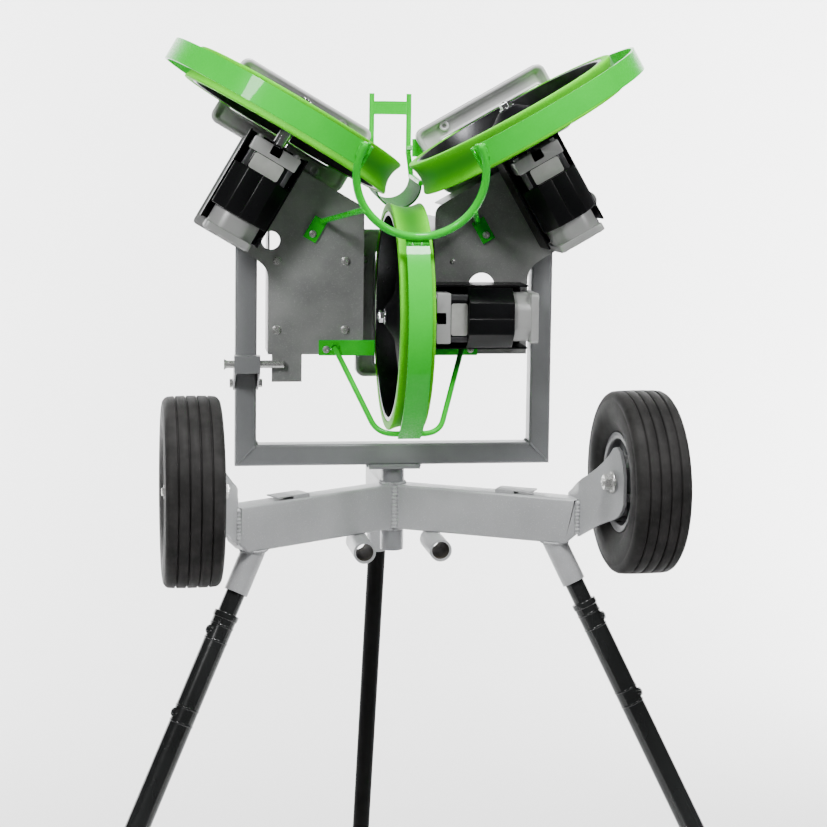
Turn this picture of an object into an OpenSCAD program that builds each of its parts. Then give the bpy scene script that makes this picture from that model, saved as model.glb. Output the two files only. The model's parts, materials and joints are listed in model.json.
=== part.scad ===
/* [Stance] */
// Height of the ball's line of flight above the floor
ball_height = 2000; // [1850:10:2150]
// Distance of the bowling wheels ahead of the swivel axis
head_ahead = 122; // [115:1:130]
// Angle that the head is swivelled to at rest, seen against the base
rest_turn = 2.5; // [-6:0.5:6]
// Lean of the two front legs from the vertical
front_lean = 28; // [24:0.5:30]
// Lean of the rear leg from the vertical
rear_lean = 15; // [12:0.5:20]

/* [Bowling wheels] */
// Radius of a bowling wheel over its lips
wheel_r = 194; // [188:1:198]
// Width of a bowling wheel
wheel_w = 57; // [54:0.5:60]
// Distance of each wheel's axle from the line of flight
wheel_reach = 220; // [218:1:226]
// Depth of the ball groove
groove_depth = 6.5; // [4:0.5:9]
// Radius of the ball groove in section
groove_r = 49; // [44:1:60]
// Thickness of the urethane over the wheel's metal rim
tyre_t = 14; // [11:0.5:18]
// Thickness of the metal rim
rim_t = 8; // [6:0.5:11]
// Thickness of the dished web
web_t = 5; // [4:0.5:8]
// How far the web is dished from the motor's side
web_dish = 26; // [20:1:32]
// Radius of the shaft hub that grips the motor's shaft
hub_r = 17; // [15:0.5:20]

/* [Motors] */
// Width of the square end castings
motor_w = 86; // [80:1:90]
// Width across the flats of the lamination stack
stack_w = 102; // [96:1:106]
// Start of the front casting, measured from the wheel plane
motor_start = 52; // [48:1:56]
// Length of the front casting
front_len = 24; // [20:1:28]
// Length of the plain barrel that carries the label
barrel_len = 30; // [24:1:36]
// Length of the lamination stack
stack_len = 79; // [70:1:86]
// Length of the rear bell
bell_len = 30; // [24:1:36]
// Thickness of the square flange on the rear end
flange_t = 13; // [10:1:16]
// Radius of the motor's shaft
shaft_r = 8; // [6:0.5:9]

/* [Head] */
// Distance of the side plates behind the wheel axles
plate_y = 60; // [58:1:64]
// Thickness of the side plates
plate_t = 3; // [2.5:0.5:4]
// Half width of the slot that each wheel runs in
slot_half = 62; // [60:1:66]
// Half width of the two side plates together
plate_reach = 228; // [224:1:234]
// Height of the side plates' bottom edge below the line of flight
plate_drop = 292; // [286:1:300]
// Distance of the trays' lips behind the wheel axles
tray_y = 158; // [154:1:164]
// Start of a tray, measured out from the line of flight
tray_start = 78; // [70:1:84]
// End of a tray, measured out from the line of flight
tray_end = 344; // [336:1:352]
// Thickness of a tray's floor
tray_t = 6; // [4:0.5:8]
// Height of a tray's lip above its floor
tray_lip = 12; // [8:1:16]
// Width of a tray's lip
lip_w = 7; // [5:0.5:9]

/* [Guards] */
// Radius of the lower guard band
low_band_r = 215; // [213:1:222]
// Radius of the two upper guard bands
up_band_r = 234; // [226:1:240]
// Width of the guard bands
band_w = 38; // [32:1:44]
// Thickness of the guard bands
band_t = 5; // [4:0.5:6]
// Radius of the front ring's centreline
ring_r = 104; // [98:1:110]
// Radius of the front ring's round rod
ring_rod_r = 6.5; // [5:0.5:8]
// Radius of the thinner guard and chute rods
rod_r = 4.8; // [4:0.2:6]

/* [Frame] */
// Width of the square tube of the frame
tube = 38; // [34:1:42]
// Wall of the square tube
tube_wall = 3; // [2:0.5:4]
// Gap between a post of the frame and the side plate
post_gap = 17; // [14:1:24]
// Distance of the frame's underside below the line of flight
frame_drop = 496; // [480:1:510]
// Height of the tilt axis below the line of flight
tilt_drop = 66; // [60:1:80]
// Height of the posts above the tilt axis
post_over = 26; // [24:1:36]

/* [Base] */
// Outer radius of the hub tube
hub_tube_r = 21; // [19:0.5:23]
// Height of the base arms
arm_h = 80; // [74:1:86]
// Width of the base arms
arm_w = 40; // [36:1:44]
// Length of the front arms from the swivel axis
arm_len = 346; // [340:1:352]
// Length of the rear arm from the swivel axis
rear_arm_len = 190; // [180:1:210]
// Gap between the frame's underside and the top of the arms
hub_gap = 35; // [30:1:40]
// Diameter of a transport wheel
tyre_d = 307; // [296:1:316]
// Width of a transport wheel
tyre_w = 95; // [88:1:100]
// Distance of each transport wheel from the middle
track_half = 373; // [370:1:384]
// Distance of the transport axles ahead of the swivel axis
axle_ahead = 267; // [260:1:274]
// Height of the transport axles above the arms
axle_rise = 44; // [38:1:50]
// Outer radius of the leg sockets
socket_r = 20.5; // [19.5:0.5:22]
// Outer radius of the upper leg tubes
leg_r = 16.5; // [15:0.5:17.5]
// Outer radius of the lower leg tubes
sleeve_r = 20; // [19:0.5:22]

/* [Hidden] */
$fn = 48;

// Shared clearances
fit = 0.05;
clear = 0.3;
eps = 0.01;

// Directions of the three wheels round the line of flight, seen from the front
left_dir = 150;
right_dir = 30;
lower_dir = 270;

// Heights above the floor
frame_z = ball_height - frame_drop;
arm_top = frame_z - hub_gap;
arm_z = arm_top - arm_h;
tilt_z = ball_height - tilt_drop;
axle_z = arm_top + axle_rise;

// Legs: where each leg's axis leaves its arm and where it meets the floor
leg_inset = 44;
front_leg_r = arm_len - leg_inset;
rear_leg_r = rear_arm_len - leg_inset;
foot_pad_r = 36;
foot_pad_t = 12;
foot_h = 34;
front_foot_r = front_leg_r + (arm_z - foot_pad_t) * tan(front_lean);
rear_foot_r = rear_leg_r + (arm_z - foot_pad_t) * tan(rear_lean);
left_leg_dir = 210 + rest_turn;
right_leg_dir = 330 + rest_turn;
rear_leg_dir = 90 + rest_turn;
foot_x = [front_foot_r * cos(left_leg_dir), front_foot_r * cos(right_leg_dir),
    rear_foot_r * cos(rear_leg_dir)];
foot_y = [front_foot_r * sin(left_leg_dir), front_foot_r * sin(right_leg_dir),
    rear_foot_r * sin(rear_leg_dir)];

// The origin lies on the floor in the middle of the feet's outer box
origin_x = (max(foot_x) + min(foot_x)) / 2;
origin_y = (max(foot_y) + min(foot_y)) / 2;

silver = [0.62, 0.63, 0.64];
plate_grey = [0.66, 0.67, 0.66];
cast_grey = [0.72, 0.73, 0.73];
black = [0.07, 0.07, 0.08];
green = [0.30, 0.74, 0.30];
lime = [0.46, 0.80, 0.16];
zinc = [0.80, 0.81, 0.83];
chrome = [0.85, 0.86, 0.88];

// Origin on the floor under the swivel axis, before the base's own turn
module stand() {
    translate([-origin_x, -origin_y, 0]) children();
}

// Frame of the base, turned against the head at rest
module base() {
    stand() rotate([0, 0, rest_turn]) children();
}

// Frame of the head: origin on the line of flight in the plane of the wheel axles
module head() {
    stand() translate([0, -head_ahead, ball_height]) children();
}

// Local frame of one wheel: X points out from the line of flight, Z along the wheel's axle
module sector(direction) {
    rotate([0, -direction, 0]) children();
}

// The same frame with Z pointing to that wheel's own motor
module motor_side(direction) {
    sector(direction) mirror([0, 0, direction == right_dir ? 1 : 0]) children();
}

// Frame along a leg: Z runs down the leg from the underside of its arm
module leg(direction, radius, lean) {
    rotate([0, 0, direction]) translate([radius, 0, arm_z]) rotate([0, 180 - lean, 0]) children();
}

module ring_tube(outer, inner, length) {
    difference() {
        cylinder(r = outer, h = length);
        translate([0, 0, -eps]) cylinder(r = inner, h = length + 2 * eps);
    }
}

// How far the ball at a bend stands out over its rods
joint_bulge = 0.4;

module rod_between(a, b, radius) {
    along = b - a;
    length = norm(along);
    translate(a) rotate([0, acos(along[2] / length), atan2(along[1], along[0])])
        cylinder(r = radius, h = length, $fn = 24);
}

module hex_head(across, height) {
    cylinder(d = across / cos(30), h = height, $fn = 6);
}

// Hub and arms of the base
hub_wall = 4;
hub_below = 40;
hub_top = frame_z - 5;
saddle_t = 5;
spindle_r = hub_tube_r - hub_wall - fit;
arm_wall = 3;
collar_h = 6;

module hub_post() color(silver) base() {
    difference() {
        translate([0, 0, arm_z - hub_below])
            cylinder(r = hub_tube_r, h = hub_top - arm_z + hub_below - clear);
        translate([0, 0, arm_z - hub_below - eps])
            cylinder(r = hub_tube_r - hub_wall, h = hub_top - arm_z + hub_below + 2 * eps);
    }
}

module arm_tube(direction, length) {
    rotate([0, 0, direction]) difference() {
        translate([0, -arm_w / 2, arm_z]) cube([length, arm_w, arm_h]);
        translate([-eps, arm_wall - arm_w / 2, arm_z + arm_wall])
            cube([length - arm_wall, arm_w - 2 * arm_wall, arm_h - 2 * arm_wall]);
    }
}

module base_arms() color(silver) base() {
    difference() {
        union() {
            arm_tube(210, arm_len);
            arm_tube(330, arm_len);
            arm_tube(90, rear_arm_len);
        }
        translate([0, 0, arm_z - eps]) cylinder(r = hub_tube_r, h = arm_h + 2 * eps);
    }
}

// Wheel brackets: a kinked plate from each front arm's end to the axle
bracket_t = 6;
bracket_rise = 34;
axle_r = 8;
tyre_gap = 13;
bracket_x = track_half - tyre_w / 2 - tyre_gap;
arm_end_x = arm_len * cos(30);
arm_end_y = arm_len * sin(30);

module wheel_bracket() {
    plate_low = arm_z - 2;
    difference() {
        union() {
            // Flat against the end of the arm, on its front side
            hull() {
                translate([arm_end_x - 14, -arm_end_y - 8, arm_z + 4]) rotate([0, 0, -30])
                    translate([0, -bracket_t / 2, 0]) cube([eps, bracket_t, arm_h - 10]);
                translate([bracket_x - bracket_t / 2, -arm_end_y - 34, plate_low + 12])
                    cube([bracket_t, 14, arm_h]);
            }
            translate([bracket_x - bracket_t / 2, 0, 0]) rotate([90, 0, 90])
                linear_extrude(bracket_t) polygon([[-arm_end_y - 22, plate_low + 10],
                    [-axle_ahead + 22, axle_z - 42], [-axle_ahead - 18, axle_z - 34],
                    [-axle_ahead - 30, axle_z - 8], [-axle_ahead - 26, axle_z + 20],
                    [-axle_ahead - 8, axle_z + bracket_rise], [-axle_ahead + 26, axle_z + 26],
                    [-arm_end_y - 22, arm_top + 6]]);
        }
        translate([0, -axle_ahead, axle_z]) rotate([0, 90, 0])
            cylinder(r = axle_r + fit, h = track_half);
        rotate([0, 0, -30]) translate([0, -arm_w / 2, arm_z - eps]) cube([arm_len, arm_w, arm_h + 2 * eps]);
    }
}

module left_wheel_bracket() color(silver) base() mirror([1, 0, 0]) wheel_bracket();
module right_wheel_bracket() color(silver) base() wheel_bracket();

axle_nut = 24;
axle_nut_h = 12;

module transport_axle() {
    axle_in = 24;
    bearing_start = track_half - bearing_half - clear;
    bearing_end = track_half + bearing_half + clear;
    translate([0, -axle_ahead, axle_z]) rotate([0, 90, 0]) {
        translate([0, 0, bracket_x - axle_in])
            cylinder(r = axle_r, h = bearing_end + axle_nut_h + 4 - bracket_x + axle_in);
        translate([0, 0, bracket_x - bracket_t / 2 - axle_nut_h]) hex_head(axle_nut, axle_nut_h);
        translate([0, 0, bracket_x + bracket_t / 2])
            cylinder(r = 13, h = bearing_start - bracket_x - bracket_t / 2);
        translate([0, 0, bearing_end]) hex_head(axle_nut, axle_nut_h);
    }
}

module transport_axles() color(zinc) base() {
    transport_axle();
    mirror([1, 0, 0]) transport_axle();
}

// Transport wheels: ribbed tyre on a pressed rim with a plain bearing tube
rim_r = 84;
rim_w = 70;
rim_wall = 4;
bearing_half = rim_w / 2 - 6;
bead_r = 76;
rib_count = 5;
rib_groove = 4;

module tyre_profile() {
    half = tyre_w / 2;
    outer = tyre_d / 2;
    difference() {
        polygon([[bead_r, -rim_w / 2 + rim_wall], [bead_r, rim_w / 2 - rim_wall], [rim_r + 4, rim_w / 2 - 1],
            [rim_r + 18, half - 2], [outer - 28, half], [outer - 12, half - 3], [outer - 3, half - 12],
            [outer, half - 20], [outer, -half + 20], [outer - 3, -half + 12], [outer - 12, -half + 3],
            [outer - 28, -half], [rim_r + 18, -half + 2], [rim_r + 4, -rim_w / 2 + 1]]);
        for (i = [1 : rib_count - 1])
            translate([outer - rib_groove, -half + 10 + i * (tyre_w - 20) / rib_count - rib_groove / 2])
                square([rib_groove + 1, rib_groove]);
    }
}

module at_transport_wheel(side) {
    base() translate([side * track_half, -axle_ahead, axle_z]) rotate([0, 90 * side, 0]) children();
}

module transport_tyre() {
    rotate_extrude($fn = 72) tyre_profile();
}

module transport_rim() {
    difference() {
        rotate_extrude($fn = 72) polygon([[axle_r + fit, -bearing_half], [axle_r + 14, -bearing_half],
            [axle_r + 14, -6], [48, -6], [58, -14], [bead_r - rim_wall, -18], [bead_r - rim_wall, -rim_w / 2],
            [rim_r, -rim_w / 2 - 1], [rim_r, -rim_w / 2 + rim_wall - 1], [bead_r, -rim_w / 2 + rim_wall - 1],
            [bead_r, rim_w / 2 - rim_wall + 1], [rim_r, rim_w / 2 - rim_wall + 1], [rim_r, rim_w / 2 + 1],
            [bead_r - rim_wall, rim_w / 2], [bead_r - rim_wall, -12], [58, -8], [48, 0], [axle_r + 14, 0],
            [axle_r + 14, bearing_half], [axle_r + fit, bearing_half]]);
        for (i = [0 : 3]) rotate([0, 0, 45 + i * 90]) translate([36, 0, -20]) cylinder(r = 6, h = 30);
    }
}

module left_tyre() color(black) at_transport_wheel(-1) transport_tyre();
module right_tyre() color(black) at_transport_wheel(1) transport_tyre();
module left_rim() color(silver) at_transport_wheel(-1) transport_rim();
module right_rim() color(silver) at_transport_wheel(1) transport_rim();

// Legs: a socket under each arm, an upper tube, and a lower tube that slides over it
socket_len = 78;
sleeve_start = 116;
leg_wall = 2;
leg_overlap = 420;
front_leg_len = (arm_z - foot_pad_t) / cos(front_lean);
rear_leg_len = (arm_z - foot_pad_t) / cos(rear_lean);
arm_seat = arm_w;

module under_arms() {
    intersection() {
        children();
        translate([-arm_z, -arm_z, 0]) cube([2 * arm_z, 2 * arm_z, arm_z]);
    }
}

module leg_socket() {
    difference() {
        translate([0, 0, -arm_seat]) cylinder(r = socket_r, h = socket_len + arm_seat);
        translate([0, 0, 6]) cylinder(r = leg_r + fit, h = socket_len + arm_seat);
    }
}

module leg_sockets() color(silver) base() under_arms() {
    leg(210, front_leg_r, front_lean) leg_socket();
    leg(330, front_leg_r, front_lean) leg_socket();
    leg(90, rear_leg_r, rear_lean) leg_socket();
}

module upper_legs() color(black) base() under_arms() {
    for (direction = [210, 330]) leg(direction, front_leg_r, front_lean)
        translate([0, 0, 6 + clear]) ring_tube(leg_r, leg_r - leg_wall, sleeve_start + leg_overlap);
}

module rear_leg() color(black) base() {
    difference() {
        leg(90, rear_leg_r, rear_lean) translate([0, 0, 6 + clear])
            ring_tube(leg_r, leg_r - leg_wall, rear_leg_len - 6);
        translate([-arm_z, -arm_z, -foot_pad_t]) cube([2 * arm_z, 2 * arm_z, 2 * foot_pad_t + 4]);
    }
}

lug_r = 7;
lug_h = 7;

module lower_leg(direction) {
    difference() {
        leg(direction, front_leg_r, front_lean) translate([0, 0, sleeve_start]) {
            ring_tube(sleeve_r, leg_r + fit, front_leg_len - sleeve_start);
            for (z = [34, 178]) translate([0, 0, z]) rotate([0, -90, 0]) difference() {
                cylinder(r = lug_r, h = sleeve_r + lug_h / 2);
                translate([0, 0, -eps]) cylinder(r = lug_r + 1, h = leg_r + 1);
            }
        }
        translate([-arm_z, -arm_z, -foot_pad_t]) cube([2 * arm_z, 2 * arm_z, 2 * foot_pad_t + 4]);
    }
}

module left_lower_leg() color(black) base() lower_leg(210);
module right_lower_leg() color(black) base() lower_leg(330);

module foot(direction, radius, leg_radius, start, lean) {
    difference() {
        rotate([0, 0, direction]) translate([radius, 0, 0]) {
            cylinder(r = foot_pad_r, h = foot_pad_t);
            rotate([0, -lean, 0]) translate([0, 0, 4]) cylinder(r = leg_radius + 4, h = foot_h);
        }
        leg(direction, start, lean) cylinder(r = leg_radius, h = (arm_z - foot_pad_t - 4) / cos(lean));
        translate([0, 0, -foot_h]) rotate([0, 0, direction]) translate([radius, 0, 0])
            cylinder(r = 2 * foot_pad_r, h = foot_h);
    }
}

module left_foot() color(black) base() foot(210, front_foot_r, sleeve_r, front_leg_r, front_lean);
module right_foot() color(black) base() foot(330, front_foot_r, sleeve_r, front_leg_r, front_lean);
module rear_foot() color(black) base() foot(90, rear_foot_r, leg_r, rear_leg_r, rear_lean);

// Two open tubes under the arms, which take a towing handle
handle_tube_r = 19.5;
handle_tube_x = 67;
handle_tube_front = 118;
handle_tube_len = 96;

module handle_tubes() color(silver) base() {
    for (side = [-1, 1]) translate([side * handle_tube_x, -handle_tube_front, arm_z - handle_tube_r])
        rotate([-90, 0, 0]) ring_tube(handle_tube_r, handle_tube_r - 4, handle_tube_len);
}

// Folded sheet clips on top of the two front arms
clip_len = 72;
clip_t = 2;
clip_start = 196;

module arm_clip() {
    translate([clip_start, 0, arm_top]) difference() {
        translate([0, -arm_w / 2 - clip_t, -8]) cube([clip_len, arm_w + 2 * clip_t, 8 + 4 * clip_t]);
        translate([-eps, -arm_w / 2, -8 - eps]) cube([clip_len + 2 * eps, arm_w, 8 + eps]);
        translate([-eps, -arm_w / 2, clip_t]) cube([clip_len + 2 * eps, arm_w, 4 * clip_t]);
        translate([14, -arm_w, -8 - eps]) cube([clip_len - 28, 2 * arm_w, 8]);
    }
}

module arm_clips() color(silver) base() {
    rotate([0, 0, 210]) arm_clip();
    rotate([0, 0, 330]) arm_clip();
}

// Swivelling frame: saddle and spindle, U-shaped square tube, bolts and stop
saddle_w = 92;
saddle_d = 64;

module at_hub() {
    stand() children();
}

module swivel_saddle() color(silver) at_hub() {
    translate([-saddle_w / 2, -saddle_d / 2, frame_z - saddle_t]) cube([saddle_w, saddle_d, saddle_t]);
    spindle_z = arm_z - hub_below + 6;
    translate([0, 0, spindle_z]) cylinder(r = spindle_r, h = frame_z - saddle_t - spindle_z);
    // Ear behind the hub, which holds the clamp screw
    difference() {
        translate([-14, hub_tube_r + 3, frame_z - saddle_t - 26]) cube([28, 9, 26]);
        translate([0, 0, frame_z - saddle_t - 14]) rotate([-90, 0, 0]) cylinder(r = 5 + fit, h = saddle_d);
    }
}

knob_r = 14;

module swivel_lock_knob() color(black) at_hub() {
    translate([0, hub_tube_r + clear, frame_z - saddle_t - 14]) rotate([-90, 0, 0]) {
        cylinder(r = 5, h = 26);
        translate([0, 0, 16]) difference() {
            cylinder(r = knob_r, h = 16);
            for (i = [0 : 5]) rotate([0, 0, i * 60]) translate([knob_r + 3, 0, -eps])
                cylinder(r = 5.5, h = 16 + 2 * eps, $fn = 24);
        }
    }
}

post_x = plate_reach + post_gap;
frame_w = 2 * (post_x + tube);
post_top = tilt_z + post_over;
tilt_bolt_r = 8;

module u_frame() color(silver) at_hub() {
    difference() {
        translate([-frame_w / 2, -tube / 2, frame_z]) cube([frame_w, tube, post_top - frame_z]);
        translate([-post_x, -tube, frame_z + tube]) cube([2 * post_x, 2 * tube, post_top]);
        // Hollow of the bar and the posts
        translate([tube_wall - frame_w / 2, tube_wall - tube / 2, frame_z + tube_wall])
            cube([frame_w - 2 * tube_wall, tube - 2 * tube_wall, tube - 2 * tube_wall]);
        for (side = [-1, 1]) translate([side * (frame_w - tube) / 2, 0, frame_z + tube_wall])
            translate([tube_wall - tube / 2, tube_wall - tube / 2, 0])
                cube([tube - 2 * tube_wall, tube - 2 * tube_wall, post_top - frame_z - 2 * tube_wall]);
        translate([-frame_w, 0, tilt_z]) rotate([0, 90, 0]) cylinder(r = tilt_bolt_r + fit, h = 2 * frame_w);
        translate([-frame_w / 2 - eps, 0, stop_pivot_z]) rotate([0, 90, 0])
            cylinder(r = stop_bolt_r + fit, h = tube + 2 * eps);
    }
}

// Tilt stop on the left post: a yoke with a block and a cross pin that swings down
stop_pivot_z = ball_height - 350;
stop_pin_z = ball_height - 308;
stop_bolt_r = 5;
stop_plate_t = 3;
stop_block_h = 30;
stop_block_y = 52;
stop_block_d = 24;
stop_pin_r = 6.8;
stop_pin_out = 21;
stop_pin_in = 44;
stop_y = -head_ahead + stop_block_y;
post_mid_x = -(frame_w - tube) / 2;

module stop_yoke() color(zinc) at_hub() {
    difference() {
        union() {
            for (side = [-1, 1]) translate([post_mid_x + side * (tube / 2 + clear + stop_plate_t / 2)
                - stop_plate_t / 2, 0, 0]) rotate([90, 0, 90]) linear_extrude(stop_plate_t) hull() {
                    translate([0, stop_pivot_z]) circle(r = 12);
                    translate([stop_y - stop_block_d / 2, stop_pin_z - stop_block_h / 2])
                        square([stop_block_d, stop_block_h]);
                }
            translate([post_mid_x - tube / 2 - clear - stop_plate_t, stop_y - stop_block_d / 2,
                stop_pin_z - stop_block_h / 2])
                cube([tube + 2 * clear + 2 * stop_plate_t, stop_block_d, stop_block_h]);
        }
        translate([post_mid_x - tube, stop_y, stop_pin_z]) rotate([0, 90, 0])
            cylinder(r = stop_pin_r, h = 2 * tube);
        translate([post_mid_x - tube, 0, stop_pivot_z]) rotate([0, 90, 0])
            cylinder(r = stop_bolt_r + fit, h = 2 * tube);
    }
}

module stop_pin() color(chrome) at_hub() {
    start = post_mid_x - tube / 2 - stop_pin_out;
    translate([start, stop_y, stop_pin_z]) rotate([0, 90, 0]) {
        cylinder(r = stop_pin_r, h = tube + stop_pin_out + stop_pin_in);
        cylinder(r1 = stop_pin_r + 3, r2 = stop_pin_r, h = 5);
    }
}

// Tilt bolts with their spacers, and the stop's pivot bolt
tilt_spacer_r = 15;
tilt_nut = 24;
tilt_nut_h = 10;

module post_bolts() color(zinc) at_hub() {
    translate([post_mid_x - tube / 2 - 9, 0, stop_pivot_z]) rotate([0, 90, 0]) {
        cylinder(r = stop_bolt_r, h = tube + 18);
        cylinder(r = 8, h = 5);
        translate([0, 0, tube + 13.5]) hex_head(13, 6);
    }
    for (side = [0, 1]) mirror([side, 0, 0]) translate([-frame_w / 2, 0, tilt_z]) rotate([0, 90, 0]) {
        translate([0, 0, -tilt_nut_h])
            cylinder(r = tilt_bolt_r, h = tube + post_gap + plate_t + 2 * tilt_nut_h + 4);
        translate([0, 0, -tilt_nut_h]) hex_head(tilt_nut, tilt_nut_h);
        translate([0, 0, tube]) cylinder(r = tilt_spacer_r, h = post_gap - clear);
        translate([0, 0, tube + post_gap + plate_t + clear]) hex_head(tilt_nut, tilt_nut_h);
    }
}

// Head: two side plates with flanges folded back along the wheel slots
flange_depth = tray_y - plate_y;
cradle_half = stack_w / 2 + 4;
tongue_half = cradle_half + 4;
tongue_end = 234;
outer_flange_top = 22;
lug_outer = 221;
lug_inner = 169;
lug_drop = 340;
box_bolt_x = [slot_half + 32, plate_reach - 15];
box_bolt_drop = [129, 249];
screw_r = 4;
cable_hole = [-224, -94];
cable_r = 16;
vent = [146, -172];
vent_r = 23;
lobe_across = 185;
lobe_r = 18;
ear_screw = [152, -82];
foot_screw = [127, -283];

// Outline in the plane of the plates: X to the right, Y up, seen from the front.
// The tongue runs out beside the wheel and carries its motor's cradle.
slant_z = -slot_half * tan(30);
tongue_start = wheel_reach - tongue_half;
tongue_z = tongue_start * sin(30) - tongue_end * cos(30);
inner_round = 14;
tongue_round = 8;
neck_round = 20;
fold_start = slot_half * tan(30) + inner_round + 1;
neck_drop = 20;

function in_sector(along, across) =
    [along * cos(left_dir) - across * sin(left_dir), along * sin(left_dir) + across * cos(left_dir)];

// Points of a rounded corner at b, between a and c, which starts a given reach away
function rounded(a, b, c, reach, steps = 6) =
    let (from = b + reach * (a - b) / norm(a - b), to = b + reach * (c - b) / norm(c - b))
    [for (i = [0 : steps]) let (t = i / steps) (1 - t) ^ 2 * from + 2 * t * (1 - t) * b + t ^ 2 * to];

module plate_outline() {
    inner = [-slot_half, slant_z];
    shoulder = in_sector(wheel_reach + tongue_half, slot_half);
    tip = in_sector(wheel_reach + tongue_half, tongue_end);
    heel = in_sector(tongue_start, tongue_end);
    neck = [-plate_reach, tongue_z - neck_drop];
    foot = [-plate_reach, -plate_drop];
    toe = [-slot_half, -plate_drop];
    polygon(concat(rounded(toe, inner, shoulder, inner_round), rounded(inner, shoulder, tip, tongue_round),
        rounded(shoulder, tip, heel, tongue_round), rounded(tip, heel, neck, tongue_round),
        rounded(heel, neck, foot, neck_round), [foot, toe]));
}

module in_plate_plane(thickness) {
    translate([0, plate_y + thickness, 0]) rotate([90, 0, 0]) linear_extrude(thickness) children();
}

module side_plate_body() {
    in_plate_plane(plate_t) plate_outline();
    // Flange along the lower wheel's slot
    translate([-slot_half - plate_t, plate_y + plate_t, -plate_drop])
        cube([plate_t, flange_depth - plate_t, plate_drop + slant_z - inner_round - 1]);
    // Flange along the upper wheel's slot
    sector(left_dir) translate([fold_start, plate_y + plate_t, slot_half])
        cube([wheel_reach + tongue_half - tongue_round - 1 - fold_start, flange_depth - plate_t, plate_t]);
    // Outer flange, which hangs on the tilt bolt
    translate([-plate_reach, plate_y + plate_t, -plate_drop])
        cube([plate_t, flange_depth - plate_t, plate_drop + outer_flange_top]);
    // Bottom flange between the two side flanges
    translate([plate_t - plate_reach, plate_y + plate_t, -plate_drop])
        cube([plate_reach - slot_half - 2 * plate_t, 7 * plate_t, plate_t]);
}

module tilt_bore() {
    translate([-plate_reach - plate_t, head_ahead, -tilt_drop]) rotate([0, 90, 0])
        cylinder(r = tilt_bolt_r + fit, h = 3 * plate_t);
}

module screw_bore(place) {
    translate([place[0], plate_y - plate_t, place[1]]) rotate([-90, 0, 0])
        cylinder(r = screw_r + fit, h = 3 * plate_t);
}

module left_side_plate() color(plate_grey) head() {
    difference() {
        union() {
            side_plate_body();
            in_plate_plane(plate_t) translate([-lug_outer, -lug_drop])
                square([lug_outer - lug_inner, lug_drop - plate_drop]);
        }
        tilt_bore();
        translate([cable_hole[0], plate_y - plate_t, cable_hole[1]]) rotate([-90, 0, 0])
            cylinder(r = cable_r, h = 6 * plate_t);
        for (x = box_bolt_x) for (drop = box_bolt_drop) screw_bore([-x, -drop]);
        screw_bore([-ear_screw[0], ear_screw[1]]);
        screw_bore([-foot_screw[0], foot_screw[1]]);
    }
}

module right_side_plate() color(plate_grey) head() {
    difference() {
        mirror([1, 0, 0]) {
            side_plate_body();
            // Round lobe beside the motor
            in_plate_plane(plate_t) translate(in_sector(wheel_reach + tongue_half - 2, lobe_across))
                circle(r = lobe_r);
        }
        mirror([1, 0, 0]) tilt_bore();
        screw_bore([box_bolt_x[0], -box_bolt_drop[0]]);
        screw_bore(ear_screw);
        screw_bore(foot_screw);
        translate([vent[0], plate_y - plate_t, vent[1]]) rotate([-90, 0, 0])
            cylinder(r = vent_r, h = 3 * plate_t);
    }
}

// Screws through the plates: box, ears and foot guard
module head_screw(place, ahead, length) {
    translate([place[0], plate_y - ahead, place[1]]) rotate([-90, 0, 0]) {
        cylinder(r = screw_r, h = length);
        translate([0, 0, -4]) cylinder(r = 6.5, h = 4);
    }
}

module plate_bolts() color(zinc) head() {
    for (x = box_bolt_x) for (drop = box_bolt_drop) head_screw([-x, -drop], 0, plate_t + 10);
    head_screw([box_bolt_x[0], -box_bolt_drop[0]], 0, plate_t + 6);
    for (side = [-1, 1]) {
        head_screw([side * ear_screw[0], ear_screw[1]], ear_t, ear_t + plate_t + 6);
        head_screw([side * foot_screw[0], foot_screw[1]], ear_t, ear_t + plate_t + 6);
    }
}

// Cast trays behind the wheels
tray_half = slot_half + plate_t;
tray_corner = 16;
tray_floor_y = tray_y + tray_lip;
wheel_slot_half = wheel_w / 2 + 2;
wheel_slot_start = wheel_reach - 104;
wheel_slot_end = wheel_reach + 104;
tray_boss = [134, 48];
tray_boss_r = 9;

module tray_plan(inset) {
    start = tray_start + inset;
    end = tray_end - inset;
    half = tray_half - inset;
    r = tray_corner - inset;
    translate([start + r, -half]) square([end - start - 2 * r, 2 * half]);
    translate([start, -half + r]) square([end - start, 2 * half - 2 * r]);
    for (x = [start + r, end - r]) for (y = [-half + r, half - r]) translate([x, y]) circle(r = r);
}

module tray(direction) {
    // The plan is drawn in the sector's X and Z and runs back along Y
    sector(direction) difference() {
        translate([0, tray_floor_y + tray_t, 0]) rotate([90, 0, 0]) difference() {
            linear_extrude(tray_lip + tray_t) tray_plan(0);
            translate([0, 0, tray_t]) linear_extrude(tray_lip + eps) tray_plan(lip_w);
            translate([wheel_slot_start, -wheel_slot_half, -eps])
                cube([wheel_slot_end - wheel_slot_start, 2 * wheel_slot_half, tray_t + 2 * eps]);
        }
    }
    sector(direction) for (side = [-1, 1]) translate([tray_boss[0], tray_floor_y - 5, side * tray_boss[1]])
        rotate([-90, 0, 0]) ring_tube(tray_boss_r, 4, 5 + eps);
}

module left_tray() color(cast_grey) head() tray(left_dir);
module right_tray() color(cast_grey) head() tray(right_dir);
module lower_tray() color(cast_grey) head() tray(lower_dir);

// Motor cradles: a channel on the side plate with two feet under the motor
cradle_t = 3;
cradle_start = 46;
cradle_end = 215;
cradle_front = -14;
cradle_foot_half = 30;

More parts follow.
